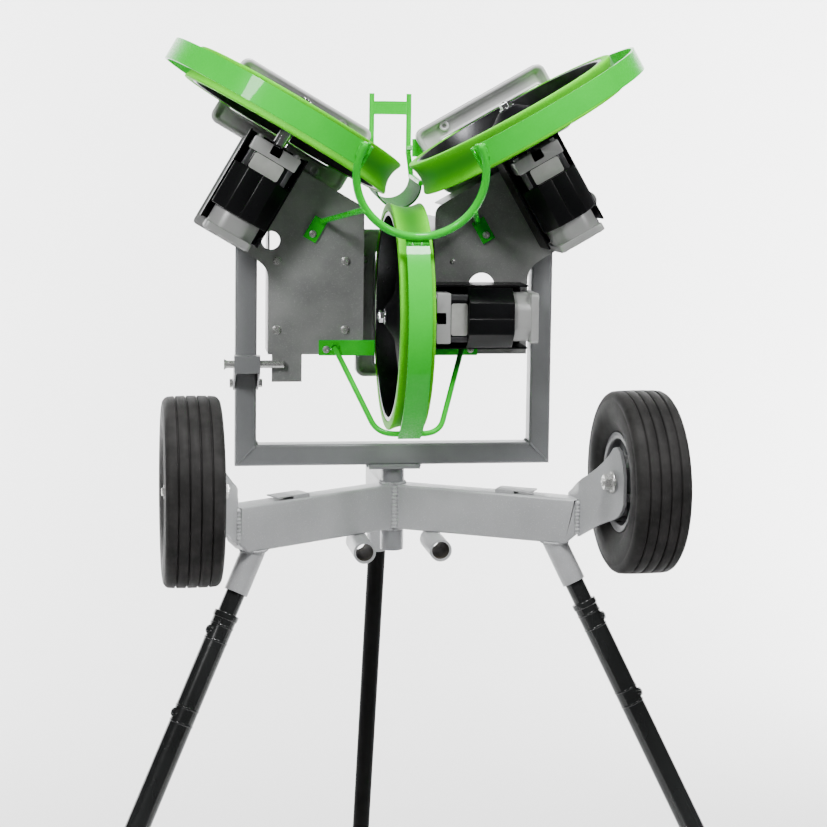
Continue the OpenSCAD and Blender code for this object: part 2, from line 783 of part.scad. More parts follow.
module cradle() {
    half = cradle_half;
    translate([wheel_reach - half, plate_y - cradle_t, cradle_start])
        cube([2 * half, cradle_t, cradle_end - cradle_start]);
    for (side = [-1, 1])
        translate([wheel_reach + side * (half - cradle_t / 2) - cradle_t / 2, cradle_front, cradle_start])
            cube([cradle_t, plate_y - cradle_front, cradle_end - cradle_start]);
    for (start = [motor_start + 4, bell_start + 4])
        translate([wheel_reach - cradle_foot_half, motor_w / 2, start])
            cube([2 * cradle_foot_half, plate_y - cradle_t - motor_w / 2 + eps, 18]);
}

module motor_cradles() color(black) head() {
    for (direction = [left_dir, right_dir, lower_dir]) motor_side(direction) cradle();
}

// Motors: black barrel and stack between silver castings, along the sector's Z
barrel_start = motor_start + front_len;
stack_start = barrel_start + barrel_len;
bell_start = stack_start + stack_len;
flange_start = bell_start + bell_len;
barrel_w = motor_w - 4;
stack_chamfer = 24;
notch_w = 17;
notch_len = 15;

module chamfered_square(width, chamfer) {
    half = width / 2;
    inner = half - chamfer;
    polygon([[half, inner], [inner, half], [-inner, half], [-half, inner],
        [-half, -inner], [-inner, -half], [inner, -half], [half, -inner]]);
}

module motor_body() {
    translate([wheel_reach, 0, barrel_start]) linear_extrude(barrel_len) chamfered_square(barrel_w, 8);
    translate([wheel_reach, 0, stack_start]) difference() {
        linear_extrude(stack_len) chamfered_square(stack_w, stack_chamfer);
        for (turn = [0 : 3]) rotate(turn * 90) translate([stack_w / 2 - 1.5, -3, -eps])
            cube([3, 6, stack_len + 2 * eps]);
    }
}

module motor_casting() {
    translate([wheel_reach, 0, motor_start]) difference() {
        linear_extrude(front_len) chamfered_square(motor_w, 6);
        translate([0, 0, -eps]) cylinder(r = shaft_r + fit, h = front_len - 4);
        translate([-notch_w / 2, -motor_w, -eps]) cube([notch_w, motor_w, notch_len]);
    }
    translate([wheel_reach, 0, bell_start]) linear_extrude(bell_len) chamfered_square(motor_w, 14);
    translate([wheel_reach, 0, flange_start]) linear_extrude(flange_t) chamfered_square(motor_w, 5);
}

module left_motor() color(black) head() motor_side(left_dir) motor_body();
module right_motor() color(black) head() motor_side(right_dir) motor_body();
module lower_motor() color(black) head() motor_side(lower_dir) motor_body();

module motor_castings() color(cast_grey) head() {
    for (direction = [left_dir, right_dir, lower_dir]) motor_side(direction) motor_casting();
}

// Bowling wheels: grooved urethane tyre, dished disc and the hub on the motor's shaft
disc_r = wheel_r - tyre_t;
boss_end = -wheel_w / 2 - 2;
boss_r = hub_r + 5;

module bowling_tyre() {
    translate([wheel_reach, 0, 0]) rotate_extrude($fn = 96) difference() {
        translate([disc_r, -wheel_w / 2]) square([tyre_t, wheel_w]);
        translate([wheel_r - groove_depth + groove_r, 0]) circle(r = groove_r, $fn = 96);
    }
}

module bowling_disc() {
    rim_half = wheel_w / 2 - 1;
    web_out = wheel_w / 2 - web_dish / 2;
    translate([wheel_reach, 0, 0]) rotate_extrude($fn = 96) polygon([[shaft_r + fit, 4],
        [boss_r, 4], [boss_r + 6, web_out - web_dish], [disc_r - rim_t, web_out],
        [disc_r - rim_t, rim_half], [disc_r, rim_half], [disc_r, -rim_half], [disc_r - rim_t, -rim_half],
        [disc_r - rim_t, web_out - web_t], [boss_r + 6, web_out - web_dish - web_t],
        [boss_r, boss_end], [shaft_r + fit, boss_end]]);
}

module shaft_hub() {
    translate([wheel_reach, 0, 0]) {
        translate([0, 0, boss_end]) cylinder(r = shaft_r, h = motor_start + front_len - 6 - boss_end);
        difference() {
            translate([0, 0, 4]) cylinder(r = hub_r - 3, h = motor_start - clear - 4);
            translate([shaft_r + 2, -1, motor_start - 22]) cube([hub_r, 2, 24]);
        }
        translate([0, 0, boss_end - 9]) hex_head(16, 9);
        translate([0, 0, boss_end - 2]) cylinder(r = 13, h = 2);
    }
}

module left_bowling_tyre() color(lime) head() motor_side(left_dir) bowling_tyre();
module left_bowling_disc() color(black) head() motor_side(left_dir) bowling_disc();
module left_shaft_hub() color(chrome) head() motor_side(left_dir) shaft_hub();
module right_bowling_tyre() color(lime) head() motor_side(right_dir) bowling_tyre();
module right_bowling_disc() color(black) head() motor_side(right_dir) bowling_disc();
module right_shaft_hub() color(chrome) head() motor_side(right_dir) shaft_hub();
module lower_bowling_tyre() color(lime) head() motor_side(lower_dir) bowling_tyre();
module lower_bowling_disc() color(black) head() motor_side(lower_dir) bowling_disc();
module lower_shaft_hub() color(chrome) head() motor_side(lower_dir) shaft_hub();

// Guard bands round the wheels: angles run from straight out, through the front, to the ball
up_band_from = -46;
up_band_to = 120;
low_band_from = 25;
low_band_to = 130;

module band(radius, from, to) {
    translate([wheel_reach, 0, 0]) rotate([0, 0, -to]) rotate_extrude(angle = to - from, $fn = 96)
        translate([radius - band_t / 2, -band_w / 2]) square([band_t, band_w]);
}

module upper_guard(direction) {
    end_x = wheel_reach + up_band_r * cos(up_band_from);
    end_y = -up_band_r * sin(up_band_from);
    sector(direction) {
        band(up_band_r, up_band_from, up_band_to);
        translate([tray_end, end_y - band_t - 1, -band_w / 2]) cube([end_x - tray_end, band_t, band_w]);
    }
}

module left_guard() color(green) head() upper_guard(left_dir);
module right_guard() color(green) head() upper_guard(right_dir);
module lower_guard() color(green) head() sector(lower_dir) band(low_band_r, low_band_from, low_band_to);

// Front ring, open at the top, with a rod and an ear down to each side plate
ring_z = 24;
ring_y = -203;
ring_lean = 16.7;
ring_open = 17;
ear_t = 4;
ear_size = [24, 42];
ear_rod_top = [88, -192, -32];
ear_rod_low = [136, -60];

module guard_ring() color(green) head() {
    translate([0, ring_y, ring_z]) rotate([90 + ring_lean, 0, 0]) rotate([0, 0, 180 - ring_open])
        rotate_extrude(angle = 180 + 2 * ring_open, $fn = 96)
            translate([ring_r, 0]) circle(r = ring_rod_r, $fn = 24);
    for (side = [0, 1]) mirror([side, 0, 0]) {
        rod_between(ear_rod_top, [ear_rod_low[0], plate_y - ear_t, ear_rod_low[1]], rod_r);
        difference() {
            translate([ear_screw[0], plate_y, ear_screw[1]]) rotate([90, -30, 0])
                translate([-ear_size[0] / 2, -12, 0]) cube([ear_size[0], ear_size[1], ear_t]);
            translate([0, -ear_t, 0]) screw_bore(ear_screw);
        }
    }
}

// Foot guard: two flat bars on the plates and a bent rod that carries the lower band
foot_bar = [42, 140, -294, -267];
foot_rod_top = [112, -280];
foot_rod_x = 46;
foot_bend_r = 14;
foot_rod_reach = low_band_r - band_t / 2 - rod_r + 1;
foot_rod_y = -foot_rod_reach * sin(low_band_from);
foot_rod_z = -wheel_reach - foot_rod_reach * cos(low_band_from);

module guard_foot() color(green) head() {
    bend = [foot_rod_x + 11, foot_rod_y + 1.5, foot_rod_z + 9];
    for (side = [0, 1]) mirror([side, 0, 0]) {
        // The right bar stays under the lower motor's cradle
        bar_top = side == 0 ? -wheel_reach - cradle_half - clear : foot_bar[3];
        difference() {
            translate([foot_bar[0], plate_y - ear_t, foot_bar[2]])
                cube([foot_bar[1] - foot_bar[0], ear_t, bar_top - foot_bar[2]]);
            translate([0, -ear_t, 0]) screw_bore(foot_screw);
        }
        rod_between([foot_rod_top[0], plate_y - ear_t, foot_rod_top[1]], bend, rod_r);
        translate(bend) sphere(r = rod_r + joint_bulge, $fn = 24);
        rod_between(bend, [foot_rod_x, foot_rod_y, foot_rod_z], rod_r);
        translate([foot_rod_x, foot_rod_y, foot_rod_z]) sphere(r = rod_r + joint_bulge, $fn = 24);
    }
    rod_between([-foot_rod_x, foot_rod_y, foot_rod_z], [foot_rod_x, foot_rod_y, foot_rod_z], rod_r);
}

// Ball chute behind the wheels: a sloping half tube and two upright rods
chute_r = 38;
chute_wall = 3;
chute_start = 84;
chute_end = 236;
chute_slope = 5;
upright_x = 34;
upright_rise = 42;
chute_rod_x = chute_r + chute_wall / 2;
chute_rod_y = 216;
chute_rod_top = 167;
chute_z = 2;
strap_z = 129;
strap_h = 24;

module chute_trough() color(green) head() {
    translate([0, chute_start, chute_z]) rotate([chute_slope, 0, 0]) rotate([-90, 0, 0]) difference() {
        ring_tube(chute_r + chute_wall, chute_r, (chute_end - chute_start) / cos(chute_slope));
        translate([-2 * chute_r, -2 * chute_r, -eps]) cube([4 * chute_r, 2 * chute_r, chute_end]);
    }
}

module chute_rods() color(green) head() {
    rail_z = chute_z + (chute_rod_y - chute_start) * tan(chute_slope) + rod_r;
    for (side = [-1, 1]) {
        rail_end = [side * chute_rod_x, chute_rod_y, rail_z];
        upright = [side * upright_x, chute_rod_y, rail_z + upright_rise];
        rod_between([side * chute_rod_x, chute_start, chute_z + rod_r], rail_end, rod_r);
        translate(rail_end) sphere(r = rod_r + joint_bulge, $fn = 24);
        rod_between(rail_end, upright, rod_r);
        translate(upright) sphere(r = rod_r + joint_bulge, $fn = 24);
        translate(upright) cylinder(r = rod_r, h = chute_rod_top - upright[2], $fn = 24);
        // Ear on the tray's back, and the rod that carries the upright from it
        ear_y = tray_floor_y + tray_t;
        ear_x = chute_ear[0] + chute_ear_size[0] / 2;
        ear_z = chute_ear[1] + chute_ear_size[1] / 2;
        rod_between([side * upright_x, chute_rod_y, ear_z], [side * ear_x, ear_y, ear_z], rod_r);
        translate([side * ear_x, ear_y + ear_t / 2, ear_z])
            cube([chute_ear_size[0], ear_t, chute_ear_size[1]], center = true);
    }
    // Bowed strap between the rods
    bow_r = 60;
    bow = asin(upright_x / bow_r);
    translate([0, chute_rod_y + bow_r * cos(bow), strap_z]) rotate([0, 0, -90 - bow])
        rotate_extrude(angle = 2 * bow, $fn = 64) translate([bow_r - 1.5, 0]) square([3, strap_h]);
}

chute_ear = [36, 53];
chute_ear_size = [22, 32];

// Control box behind the left plate, with its dials and switch on the rear
box_x = [10 - plate_reach, 148 - plate_reach];
box_z = [-266, -112];
box_end = 152;
dial_r = 15;
dial_h = 16;
box_mid = (box_x[0] + box_x[1]) / 2;
dial_step = 41;
dial_x = [box_mid - dial_step, box_mid, box_mid + dial_step];
dial_z = -158;
switch_size = [22, 30];
switch_x = box_mid;
switch_z = -222;

module control_box() color(black) head() {
    difference() {
        translate([box_x[0], plate_y + plate_t, box_z[0]])
            cube([box_x[1] - box_x[0], box_end - plate_y - plate_t, box_z[1] - box_z[0]]);
        for (x = box_bolt_x) for (drop = box_bolt_drop) screw_bore([-x, -drop]);
        for (x = box_bolt_x) for (drop = box_bolt_drop)
            translate([-x, plate_y, -drop]) rotate([-90, 0, 0]) cylinder(r = screw_r + fit, h = plate_t + 12);
        for (x = dial_x) translate([x, box_end + eps, dial_z]) rotate([90, 0, 0])
            cylinder(r = 3 + fit, h = 14);
        translate([switch_x - switch_size[0] / 2, box_end - 12, switch_z - switch_size[1] / 2])
            cube([switch_size[0], 14, switch_size[1]]);
    }
}

module dial(x) {
    translate([x, box_end, dial_z]) rotate([-90, 0, 0]) {
        translate([0, 0, -12]) cylinder(r = 3, h = 14);
        translate([0, 0, clear]) difference() {
            cylinder(r = dial_r, h = dial_h);
            translate([-1, -dial_r - 1, dial_h - 1.5]) cube([2, dial_r, 2]);
        }
        for (i = [0 : 11]) rotate([0, 0, i * 30])
            translate([dial_r, 0, clear]) cylinder(r = 1.2, h = dial_h - 2);
    }
}

module left_dial() color(black) head() dial(dial_x[0]);
module middle_dial() color(black) head() dial(dial_x[1]);
module right_dial() color(black) head() dial(dial_x[2]);

module power_switch() color("firebrick") head() {
    translate([switch_x, box_end - 2, switch_z]) rotate([0, 90, 0]) intersection() {
        cylinder(r = switch_size[1] / 2 - 1, h = switch_size[0] - 2, center = true);
        translate([-switch_size[1], -7, -switch_size[0]]) cube([2 * switch_size[1], 14, 2 * switch_size[0]]);
    }
}

// Aiming handle on the rear of the lower tray
handle_r = 11;
handle_len = 170;
handle_rise = 70;
grip_len = 110;
grip_t = 5;
handle_drop = 318;

module aim_handle() color(black) head() {
    translate([0, tray_floor_y + tray_t, -handle_drop - 14]) {
        translate([-24, 0, -10]) cube([48, 6, 32]);
        difference() {
            rotate([-handle_rise, 0, 0]) cylinder(r = handle_r, h = handle_len);
            translate([-2 * handle_r, -2 * handle_r, -2 * handle_r])
                cube([4 * handle_r, 2 * handle_r, 4 * handle_r]);
        }
        rotate([-handle_rise, 0, 0]) translate([0, 0, handle_len - grip_len])
            cylinder(r = handle_r + grip_t, h = grip_len);
    }
}

hub_post();
base_arms();
left_wheel_bracket();
right_wheel_bracket();
transport_axles();
left_tyre();
left_rim();
right_tyre();
right_rim();
leg_sockets();
upper_legs();
rear_leg();
rear_foot();
left_lower_leg();
right_lower_leg();
left_foot();
right_foot();
handle_tubes();
arm_clips();
swivel_saddle();
swivel_lock_knob();
u_frame();
post_bolts();
stop_yoke();
stop_pin();
left_side_plate();
right_side_plate();
left_tray();
right_tray();
lower_tray();
motor_cradles();
left_motor();
right_motor();
lower_motor();
motor_castings();
left_guard();
right_guard();
lower_guard();
guard_ring();
guard_foot();
chute_trough();
chute_rods();
control_box();
left_dial();
middle_dial();
right_dial();
power_switch();
aim_handle();
plate_bolts();
left_bowling_tyre();
left_bowling_disc();
left_shaft_hub();
right_bowling_tyre();
right_bowling_disc();
right_shaft_hub();
lower_bowling_tyre();
lower_bowling_disc();
lower_shaft_hub();
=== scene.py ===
import json
import math
import bpy
import bmesh
from mathutils import Matrix, Vector


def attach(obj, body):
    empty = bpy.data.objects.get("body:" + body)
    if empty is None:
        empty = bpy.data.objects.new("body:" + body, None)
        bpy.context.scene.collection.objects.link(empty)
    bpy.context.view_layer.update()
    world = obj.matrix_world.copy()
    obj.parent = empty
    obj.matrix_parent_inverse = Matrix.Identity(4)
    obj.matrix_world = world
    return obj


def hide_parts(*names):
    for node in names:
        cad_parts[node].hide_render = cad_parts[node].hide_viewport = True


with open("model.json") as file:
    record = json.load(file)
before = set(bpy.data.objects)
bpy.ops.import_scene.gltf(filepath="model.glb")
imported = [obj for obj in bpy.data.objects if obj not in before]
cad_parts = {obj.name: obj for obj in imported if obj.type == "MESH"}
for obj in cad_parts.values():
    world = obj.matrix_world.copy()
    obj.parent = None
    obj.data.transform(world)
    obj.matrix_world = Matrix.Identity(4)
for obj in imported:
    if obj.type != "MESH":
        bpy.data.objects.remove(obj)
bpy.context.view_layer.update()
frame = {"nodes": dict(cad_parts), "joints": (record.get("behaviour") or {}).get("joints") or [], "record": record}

nodes = frame["nodes"]
jointNamed = {joint["name"]: joint for joint in frame["joints"]}
mm = 0.001


def cosSin(angle):
    # Cosine and sine of an angle in degrees
    return math.cos(math.radians(angle)), math.sin(math.radians(angle))


# Places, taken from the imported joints: lengths below are in millimetres

def placeFrom(origin, xAxis, yAxis, zAxis):
    return lambda x, y, z: origin + (xAxis * x + yAxis * y + zAxis * z) * mm


def jointPlace(name):
    return Vector(jointNamed[name]["pos_m"])


xWay, yWay, zWay = Vector((1, 0, 0)), Vector((0, 1, 0)), Vector((0, 0, 1))
wheelReach = 220
flight = jointPlace("lower_bowling_spin") + zWay * wheelReach * mm
hubOnFloor = Vector((*jointPlace("swivel").xy, 0))
baseAcross = Vector(jointNamed["right_transport_spin"]["axis"])
baseBack = zWay.cross(baseAcross)
headPlace = placeFrom(flight, xWay, yWay, zWay)                   # ball line in the wheel-axle plane
hubPlace = placeFrom(hubOnFloor, xWay, yWay, zWay)                # swivel axis on the floor
basePlace = placeFrom(hubOnFloor, baseAcross, baseBack, zWay)     # the same, turned with the base
wheelAngles = {"left": 150, "right": 30, "lower": 270}


def wheelAxes(name):
    # Outward from the ball, and along the axle towards the motor
    c, s = cosSin(wheelAngles[name])
    side = -1 if name == "right" else 1
    return Vector((c, 0, s)), Vector((-s, 0, c)) * side


def wheelPlace(name):
    outward, axleWay = wheelAxes(name)
    return placeFrom(flight + outward * wheelReach * mm, outward, yWay, axleWay)


def sectorPlace(name):
    outward, axleWay = wheelAxes(name)
    return placeFrom(flight, outward, yWay, axleWay)


print("frame loaded, line of flight at", [round(v, 4) for v in flight])


# Finishes: each one is a node tree of colour drift, grain, roughness and relief

def addNode(tree, kind, **values):
    node = tree.nodes.new(kind)
    for name, value in values.items():
        if name in node.inputs:
            node.inputs[name].default_value = value
        else:
            setattr(node, name, value)
    return node


# Shader inputs with the key of a finish that sets each, and the value where the key is missing
shaderInputs = (
    ("Metallic", "metallic", 0.0), ("Coat Weight", "coat", 0.0), ("Coat Roughness", "coatRoughness", 0.1),
    ("Specular IOR Level", "specular", 0.5), ("Sheen Weight", "sheen", 0.0))


def makeFinish(name, look):
    material = bpy.data.materials.new(name)
    material.use_nodes = True
    tree = material.node_tree
    tree.nodes.clear()
    link = tree.links.new
    output = addNode(tree, "ShaderNodeOutputMaterial")
    shader = addNode(tree, "ShaderNodeBsdfPrincipled")
    link(shader.outputs["BSDF"], output.inputs["Surface"])
    for socket, key, usual in shaderInputs:
        shader.inputs[socket].default_value = look.get(key, usual)
    place = addNode(tree, "ShaderNodeTexCoord")
    stretch = addNode(tree, "ShaderNodeMapping", Scale=look.get("stretch", (1, 1, 1)))
    link(place.outputs["Object"], stretch.inputs["Vector"])

    def noise(scale, detail, roughness):
        texture = addNode(tree, "ShaderNodeTexNoise", Scale=scale, Detail=detail, Roughness=roughness)
        link(stretch.outputs["Vector"], texture.inputs["Vector"])
        return texture.outputs["Fac"]

    def mapped(factor, **limits):
        spread = addNode(tree, "ShaderNodeMapRange", **limits)
        link(factor, spread.inputs["Value"])
        return spread.outputs["Result"]

    def blended(colour, factor, other):
        blend = addNode(tree, "ShaderNodeMix", data_type="RGBA")
        link(factor, blend.inputs["Factor"])
        link(colour, blend.inputs["A"])
        blend.inputs["B"].default_value = (*other, 1)
        return blend.outputs["Result"]

    tint = addNode(tree, "ShaderNodeValToRGB")
    for element, position, key in zip(tint.color_ramp.elements, (0.35, 0.66), ("shade", "colour")):
        element.position = position
        element.color = (*look[key], 1)
    link(noise(look.get("driftScale", 9.0), 4.0, 0.6), tint.inputs["Fac"])
    grain = noise(look.get("grainScale", 160.0), 5.0, 0.65)
    colour = tint.outputs["Color"]
    if "fleck" in look:  # fine flecks of a second colour, as in metallic paint or moulded urethane
        colour = blended(colour, mapped(grain, **{"From Min": 0.56, "From Max": 0.70}), look["fleck"])
    # Painted shade: a darker colour in the tyre's ball groove, where the hollow attribute rises to 1
    if "hollow" in look:  # a darker colour where the mesh's hollow attribute rises to 1
        hollow = addNode(tree, "ShaderNodeAttribute", attribute_name="hollow")
        colour = blended(colour, hollow.outputs["Fac"], look["hollow"])
    link(colour, shader.inputs["Base Color"])
    low, high = look["roughness"]
    rough = mapped(grain, **{"From Min": 0.3, "From Max": 0.7, "To Min": low, "To Max": high})
    link(rough, shader.inputs["Roughness"])
    rounding = addNode(tree, "ShaderNodeBevel", samples=4, Radius=look.get("rounding", 0.9) * mm)
    depth = look.get("depth", 0.4) * mm
    relief = addNode(tree, "ShaderNodeBump", Strength=look.get("relief", 0.1), Distance=depth)
    link(grain, relief.inputs["Height"])
    link(rounding.outputs["Normal"], relief.inputs["Normal"])
    link(relief.outputs["Normal"], shader.inputs["Normal"])
    return material


silverPaint = makeFinish("silverPaint", {
    "colour": (0.30, 0.305, 0.315), "shade": (0.245, 0.25, 0.26), "fleck": (0.36, 0.365, 0.375),
    "roughness": (0.30, 0.44), "metallic": 0.2, "coat": 0.12, "coatRoughness": 0.25,
    "driftScale": 6.0, "grainScale": 700.0, "relief": 0.10})
platePaint = makeFinish("platePaint", {
    "colour": (0.44, 0.445, 0.44), "shade": (0.30, 0.305, 0.305), "fleck": (0.52, 0.525, 0.52),
    "roughness": (0.34, 0.50), "metallic": 0.4, "coat": 0.06, "coatRoughness": 0.3,
    "driftScale": 7.5, "grainScale": 520.0, "relief": 0.14})
castAluminium = makeFinish("castAluminium", {
    "colour": (0.60, 0.60, 0.595), "shade": (0.50, 0.50, 0.50), "roughness": (0.38, 0.58),
    "metallic": 0.35, "driftScale": 11.0, "grainScale": 360.0, "relief": 0.26, "depth": 0.5})
guardGreen = makeFinish("guardGreen", {
    "colour": (0.010, 0.62, 0.024), "shade": (0.008, 0.53, 0.020), "roughness": (0.22, 0.32),
    "specular": 0.07, "coat": 0.32, "coatRoughness": 0.03, "driftScale": 6.0, "grainScale": 260.0,
    "relief": 0.10, "rounding": 1.2})
# Lime urethane; its hollow colour is painted shade for the tyre's ball groove
limeUrethane = makeFinish("limeUrethane", {
    "colour": (0.125, 0.72, 0.006), "shade": (0.100, 0.61, 0.005), "fleck": (0.27, 0.92, 0.03),
    "hollow": (0.028, 0.26, 0.010), "roughness": (0.50, 0.64), "driftScale": 13.0,
    "grainScale": 420.0, "relief": 0.16, "specular": 0.10})
blackPaint = makeFinish("blackPaint", {
    "colour": (0.008, 0.008, 0.009), "shade": (0.004, 0.004, 0.005), "roughness": (0.34, 0.46),
    "specular": 0.18, "driftScale": 10.0, "grainScale": 420.0, "relief": 0.14})
tubeBlack = makeFinish("tubeBlack", {
    "colour": (0.017, 0.018, 0.018), "shade": (0.012, 0.013, 0.013), "roughness": (0.16, 0.24),
    "specular": 0.35, "coat": 0.35, "coatRoughness": 0.12, "stretch": (1, 1, 0.35), "driftScale": 14.0,
    "grainScale": 300.0, "relief": 0.02})
blackDisc = makeFinish("blackDisc", {
    "colour": (0.006, 0.006, 0.007), "shade": (0.003, 0.003, 0.004), "roughness": (0.50, 0.62),
    "specular": 0.06, "driftScale": 8.0, "grainScale": 300.0, "relief": 0.10})
tyreRubber = makeFinish("tyreRubber", {
    "colour": (0.034, 0.033, 0.0325), "shade": (0.018, 0.0176, 0.0173), "roughness": (0.44, 0.60),
    "specular": 0.05, "driftScale": 18.0, "grainScale": 620.0, "relief": 0.26})
zincSteel = makeFinish("zincSteel", {
    "colour": (0.72, 0.72, 0.70), "shade": (0.56, 0.56, 0.55), "roughness": (0.22, 0.36),
    "metallic": 0.75, "driftScale": 60.0, "grainScale": 900.0, "relief": 0.1, "rounding": 0.5})
polishedChrome = makeFinish("polishedChrome", {
    "colour": (0.78, 0.78, 0.80), "shade": (0.66, 0.66, 0.68), "roughness": (0.08, 0.20),
    "metallic": 1.0, "driftScale": 40.0, "grainScale": 700.0, "relief": 0.05, "rounding": 0.6})
blackPlastic = makeFinish("blackPlastic", {
    "colour": (0.022, 0.022, 0.024), "shade": (0.014, 0.014, 0.015), "roughness": (0.42, 0.58),
    "driftScale": 20.0, "grainScale": 1100.0, "relief": 0.35})
gripRubber = makeFinish("gripRubber", {
    "colour": (0.020, 0.020, 0.021), "shade": (0.012, 0.012, 0.012), "roughness": (0.60, 0.78),
    "driftScale": 30.0, "grainScale": 900.0, "relief": 0.4, "sheen": 0.2})
redPlastic = makeFinish("redPlastic", {
    "colour": (0.42, 0.016, 0.012), "shade": (0.34, 0.012, 0.010), "roughness": (0.18, 0.28),
    "driftScale": 20.0, "grainScale": 400.0, "relief": 0.08})
# Painted shade: the polished rim ring is given a dark grey colour for the shade inside the wheel
polishedRimPaintedShade = makeFinish("polishedRimPaintedShade", {
    "colour": (0.10, 0.10, 0.105), "shade": (0.07, 0.07, 0.075), "roughness": (0.26, 0.36),
    "metallic": 1.0, "stretch": (1, 1, 0.2), "driftScale": 30.0, "grainScale": 500.0, "relief": 0.06})
motorBlack = makeFinish("motorBlack", {
    "colour": (0.006, 0.006, 0.007), "shade": (0.003, 0.003, 0.004), "roughness": (0.26, 0.40),
    "specular": 0.3, "coat": 0.06, "coatRoughness": 0.2, "driftScale": 12.0, "grainScale": 500.0,
    "relief": 0.16})
# Painted light: the same silver paint as silverPaint, made lighter because the base arms catch more light
armSilverPaintedLight = makeFinish("armSilverPaintedLight", {
    "colour": (0.45, 0.455, 0.465), "shade": (0.37, 0.375, 0.385), "fleck": (0.58, 0.585, 0.595),
    "roughness": (0.32, 0.46), "metallic": 0.15, "coat": 0.1, "coatRoughness": 0.25,
    "driftScale": 6.0, "grainScale": 520.0, "relief": 0.16})
lugGrey = makeFinish("lugGrey", {
    "colour": (0.10, 0.10, 0.105), "shade": (0.06, 0.06, 0.065), "roughness": (0.36, 0.5),
    "metallic": 0.4, "driftScale": 30.0, "grainScale": 500.0, "relief": 0.12})
rimGrey = makeFinish("rimGrey", {
    "colour": (0.105, 0.107, 0.11), "shade": (0.07, 0.072, 0.075), "roughness": (0.26, 0.40),
    "specular": 0.4, "coat": 0.1, "driftScale": 14.0, "grainScale": 420.0, "relief": 0.12})
boreShade = makeFinish("boreShade", {
    "colour": (0.075, 0.066, 0.055), "shade": (0.045, 0.040, 0.034), "roughness": (0.7, 0.85),
    "specular": 0.1, "driftScale": 30.0, "grainScale": 400.0, "relief": 0.2})
# Painted shade: the trough has the guards' green paint, made darker because it lies in shade
chuteGreenPaintedShade = makeFinish("chuteGreenPaintedShade", {
    "colour": (0.008, 0.19, 0.012), "shade": (0.006, 0.15, 0.009), "roughness": (0.5, 0.65),
    "specular": 0.03, "driftScale": 8.0, "grainScale": 260.0, "relief": 0.12})
# Painted shade: the rear leg is the same black tube as the other legs, made darker because it stands in shade
legBlackPaintedShade = makeFinish("legBlackPaintedShade", {
    "colour": (0.006, 0.006, 0.006), "shade": (0.003, 0.003, 0.003), "roughness": (0.45, 0.6),
    "specular": 0.05, "driftScale": 14.0, "grainScale": 300.0, "relief": 0.10})
labelPaper = makeFinish("labelPaper", {
    "colour": (0.62, 0.62, 0.60), "shade": (0.54, 0.54, 0.52), "roughness": (0.34, 0.46),
    "driftScale": 60.0, "grainScale": 500.0, "relief": 0.05, "rounding": 0.2})

finishOf = {
    "silver_paint": silverPaint, "cast_alu": castAluminium, "green_paint": guardGreen,
    "lime_urethane": limeUrethane, "black_paint": blackPaint, "black_disc": blackDisc,
    "tyre_rubber": tyreRubber, "zinc_steel": zincSteel, "hub_chrome": polishedChrome,
    "box_plastic": blackPlastic, "red_plastic": redPlastic}
slotOf = {part["node"]: part["material_slot"] for part in frame["record"]["subparts"]}
ownFinish = {
    "handle_tubes": armSilverPaintedLight, "leg_sockets": armSilverPaintedLight, "chute_trough": chuteGreenPaintedShade,
    "left_side_plate": platePaint, "right_side_plate": platePaint,
    "upper_legs": tubeBlack, "left_lower_leg": tubeBlack, "right_lower_leg": tubeBlack, "rear_leg": legBlackPaintedShade,
    "left_foot": gripRubber, "right_foot": gripRubber, "rear_foot": gripRubber}

for name, item in nodes.items():
    item.data.materials.clear()
    item.data.materials.append(ownFinish.get(name, finishOf[slotOf[name]]))
    item.data.shade_smooth()
    item.data.set_sharp_from_angle(angle=math.radians(30))
print("finishes made")


# Outlines: lists of points in a piece's own millimetres

def circle(radius, steps):
    turns = [2 * math.pi * i / steps for i in range(steps)]
    return [(radius * math.cos(turn), radius * math.sin(turn)) for turn in turns]


def arcPoints(centre, radius, start, end, steps):
    turns = (cosSin(start + (end - start) * i / steps) for i in range(steps + 1))
    return [(centre[0] + radius * c, centre[1] + radius * s) for c, s in turns]


def rounded(corners, radius, steps=4, closed=True):
    # The same outline or path with its corners rounded, by one radius or by a list of them
    points = []
    count = len(corners)
    for i, corner in enumerate(corners):
        here = Vector(corner)
        size = radius[i] if isinstance(radius, (list, tuple)) else radius
        if size == 0 or (not closed and i in (0, count - 1)):
            points.append(tuple(here))
            continue
        before = Vector(corners[i - 1]) - here
        after = Vector(corners[(i + 1) % count]) - here
        reach = min(size, before.length * 0.48, after.length * 0.48)
        start = here + before.normalized() * reach
        end = here + after.normalized() * reach
        for step in range(steps + 1):
            t = step / steps
            points.append(tuple(start * (1 - t) ** 2 + here * 2 * t * (1 - t) + end * t ** 2))
    return points


def roundRect(width, height, radius, steps=5):
    x, y = width / 2 - radius, height / 2 - radius
    points = []
    for cx, cy, start in ((x, y, 0), (-x, y, 90), (-x, -y, 180), (x, -y, 270)):
        points += arcPoints((cx, cy), radius, start, start + 90, steps)
    return points


def chamferedSquare(width, chamfer):
    half = width / 2
    inner = half - chamfer
    return [(half, -inner), (half, inner), (inner, half), (-inner, half), (-half, inner), (-half, -inner),
            (-inner, -half), (inner, -half)]


def insetOutline(outline, depth):
    # Moves each point of a counter-clockwise outline inwards along its bisector
    inset = []
    for i, point in enumerate(outline):
        here = Vector(point)
        before = (here - Vector(outline[i - 1])).normalized()
        after = (Vector(outline[(i + 1) % len(outline)]) - here).normalized()
        inward = Vector((-before.y, before.x)) + Vector((-after.y, after.x))
        if inward.length < 1e-6:
            inset.append(point)
            continue
        inward.normalize()
        slant = max(0.35, inward.dot(Vector((-before.y, before.x))))
        inset.append(tuple(here + inward * depth / slant))
    return inset


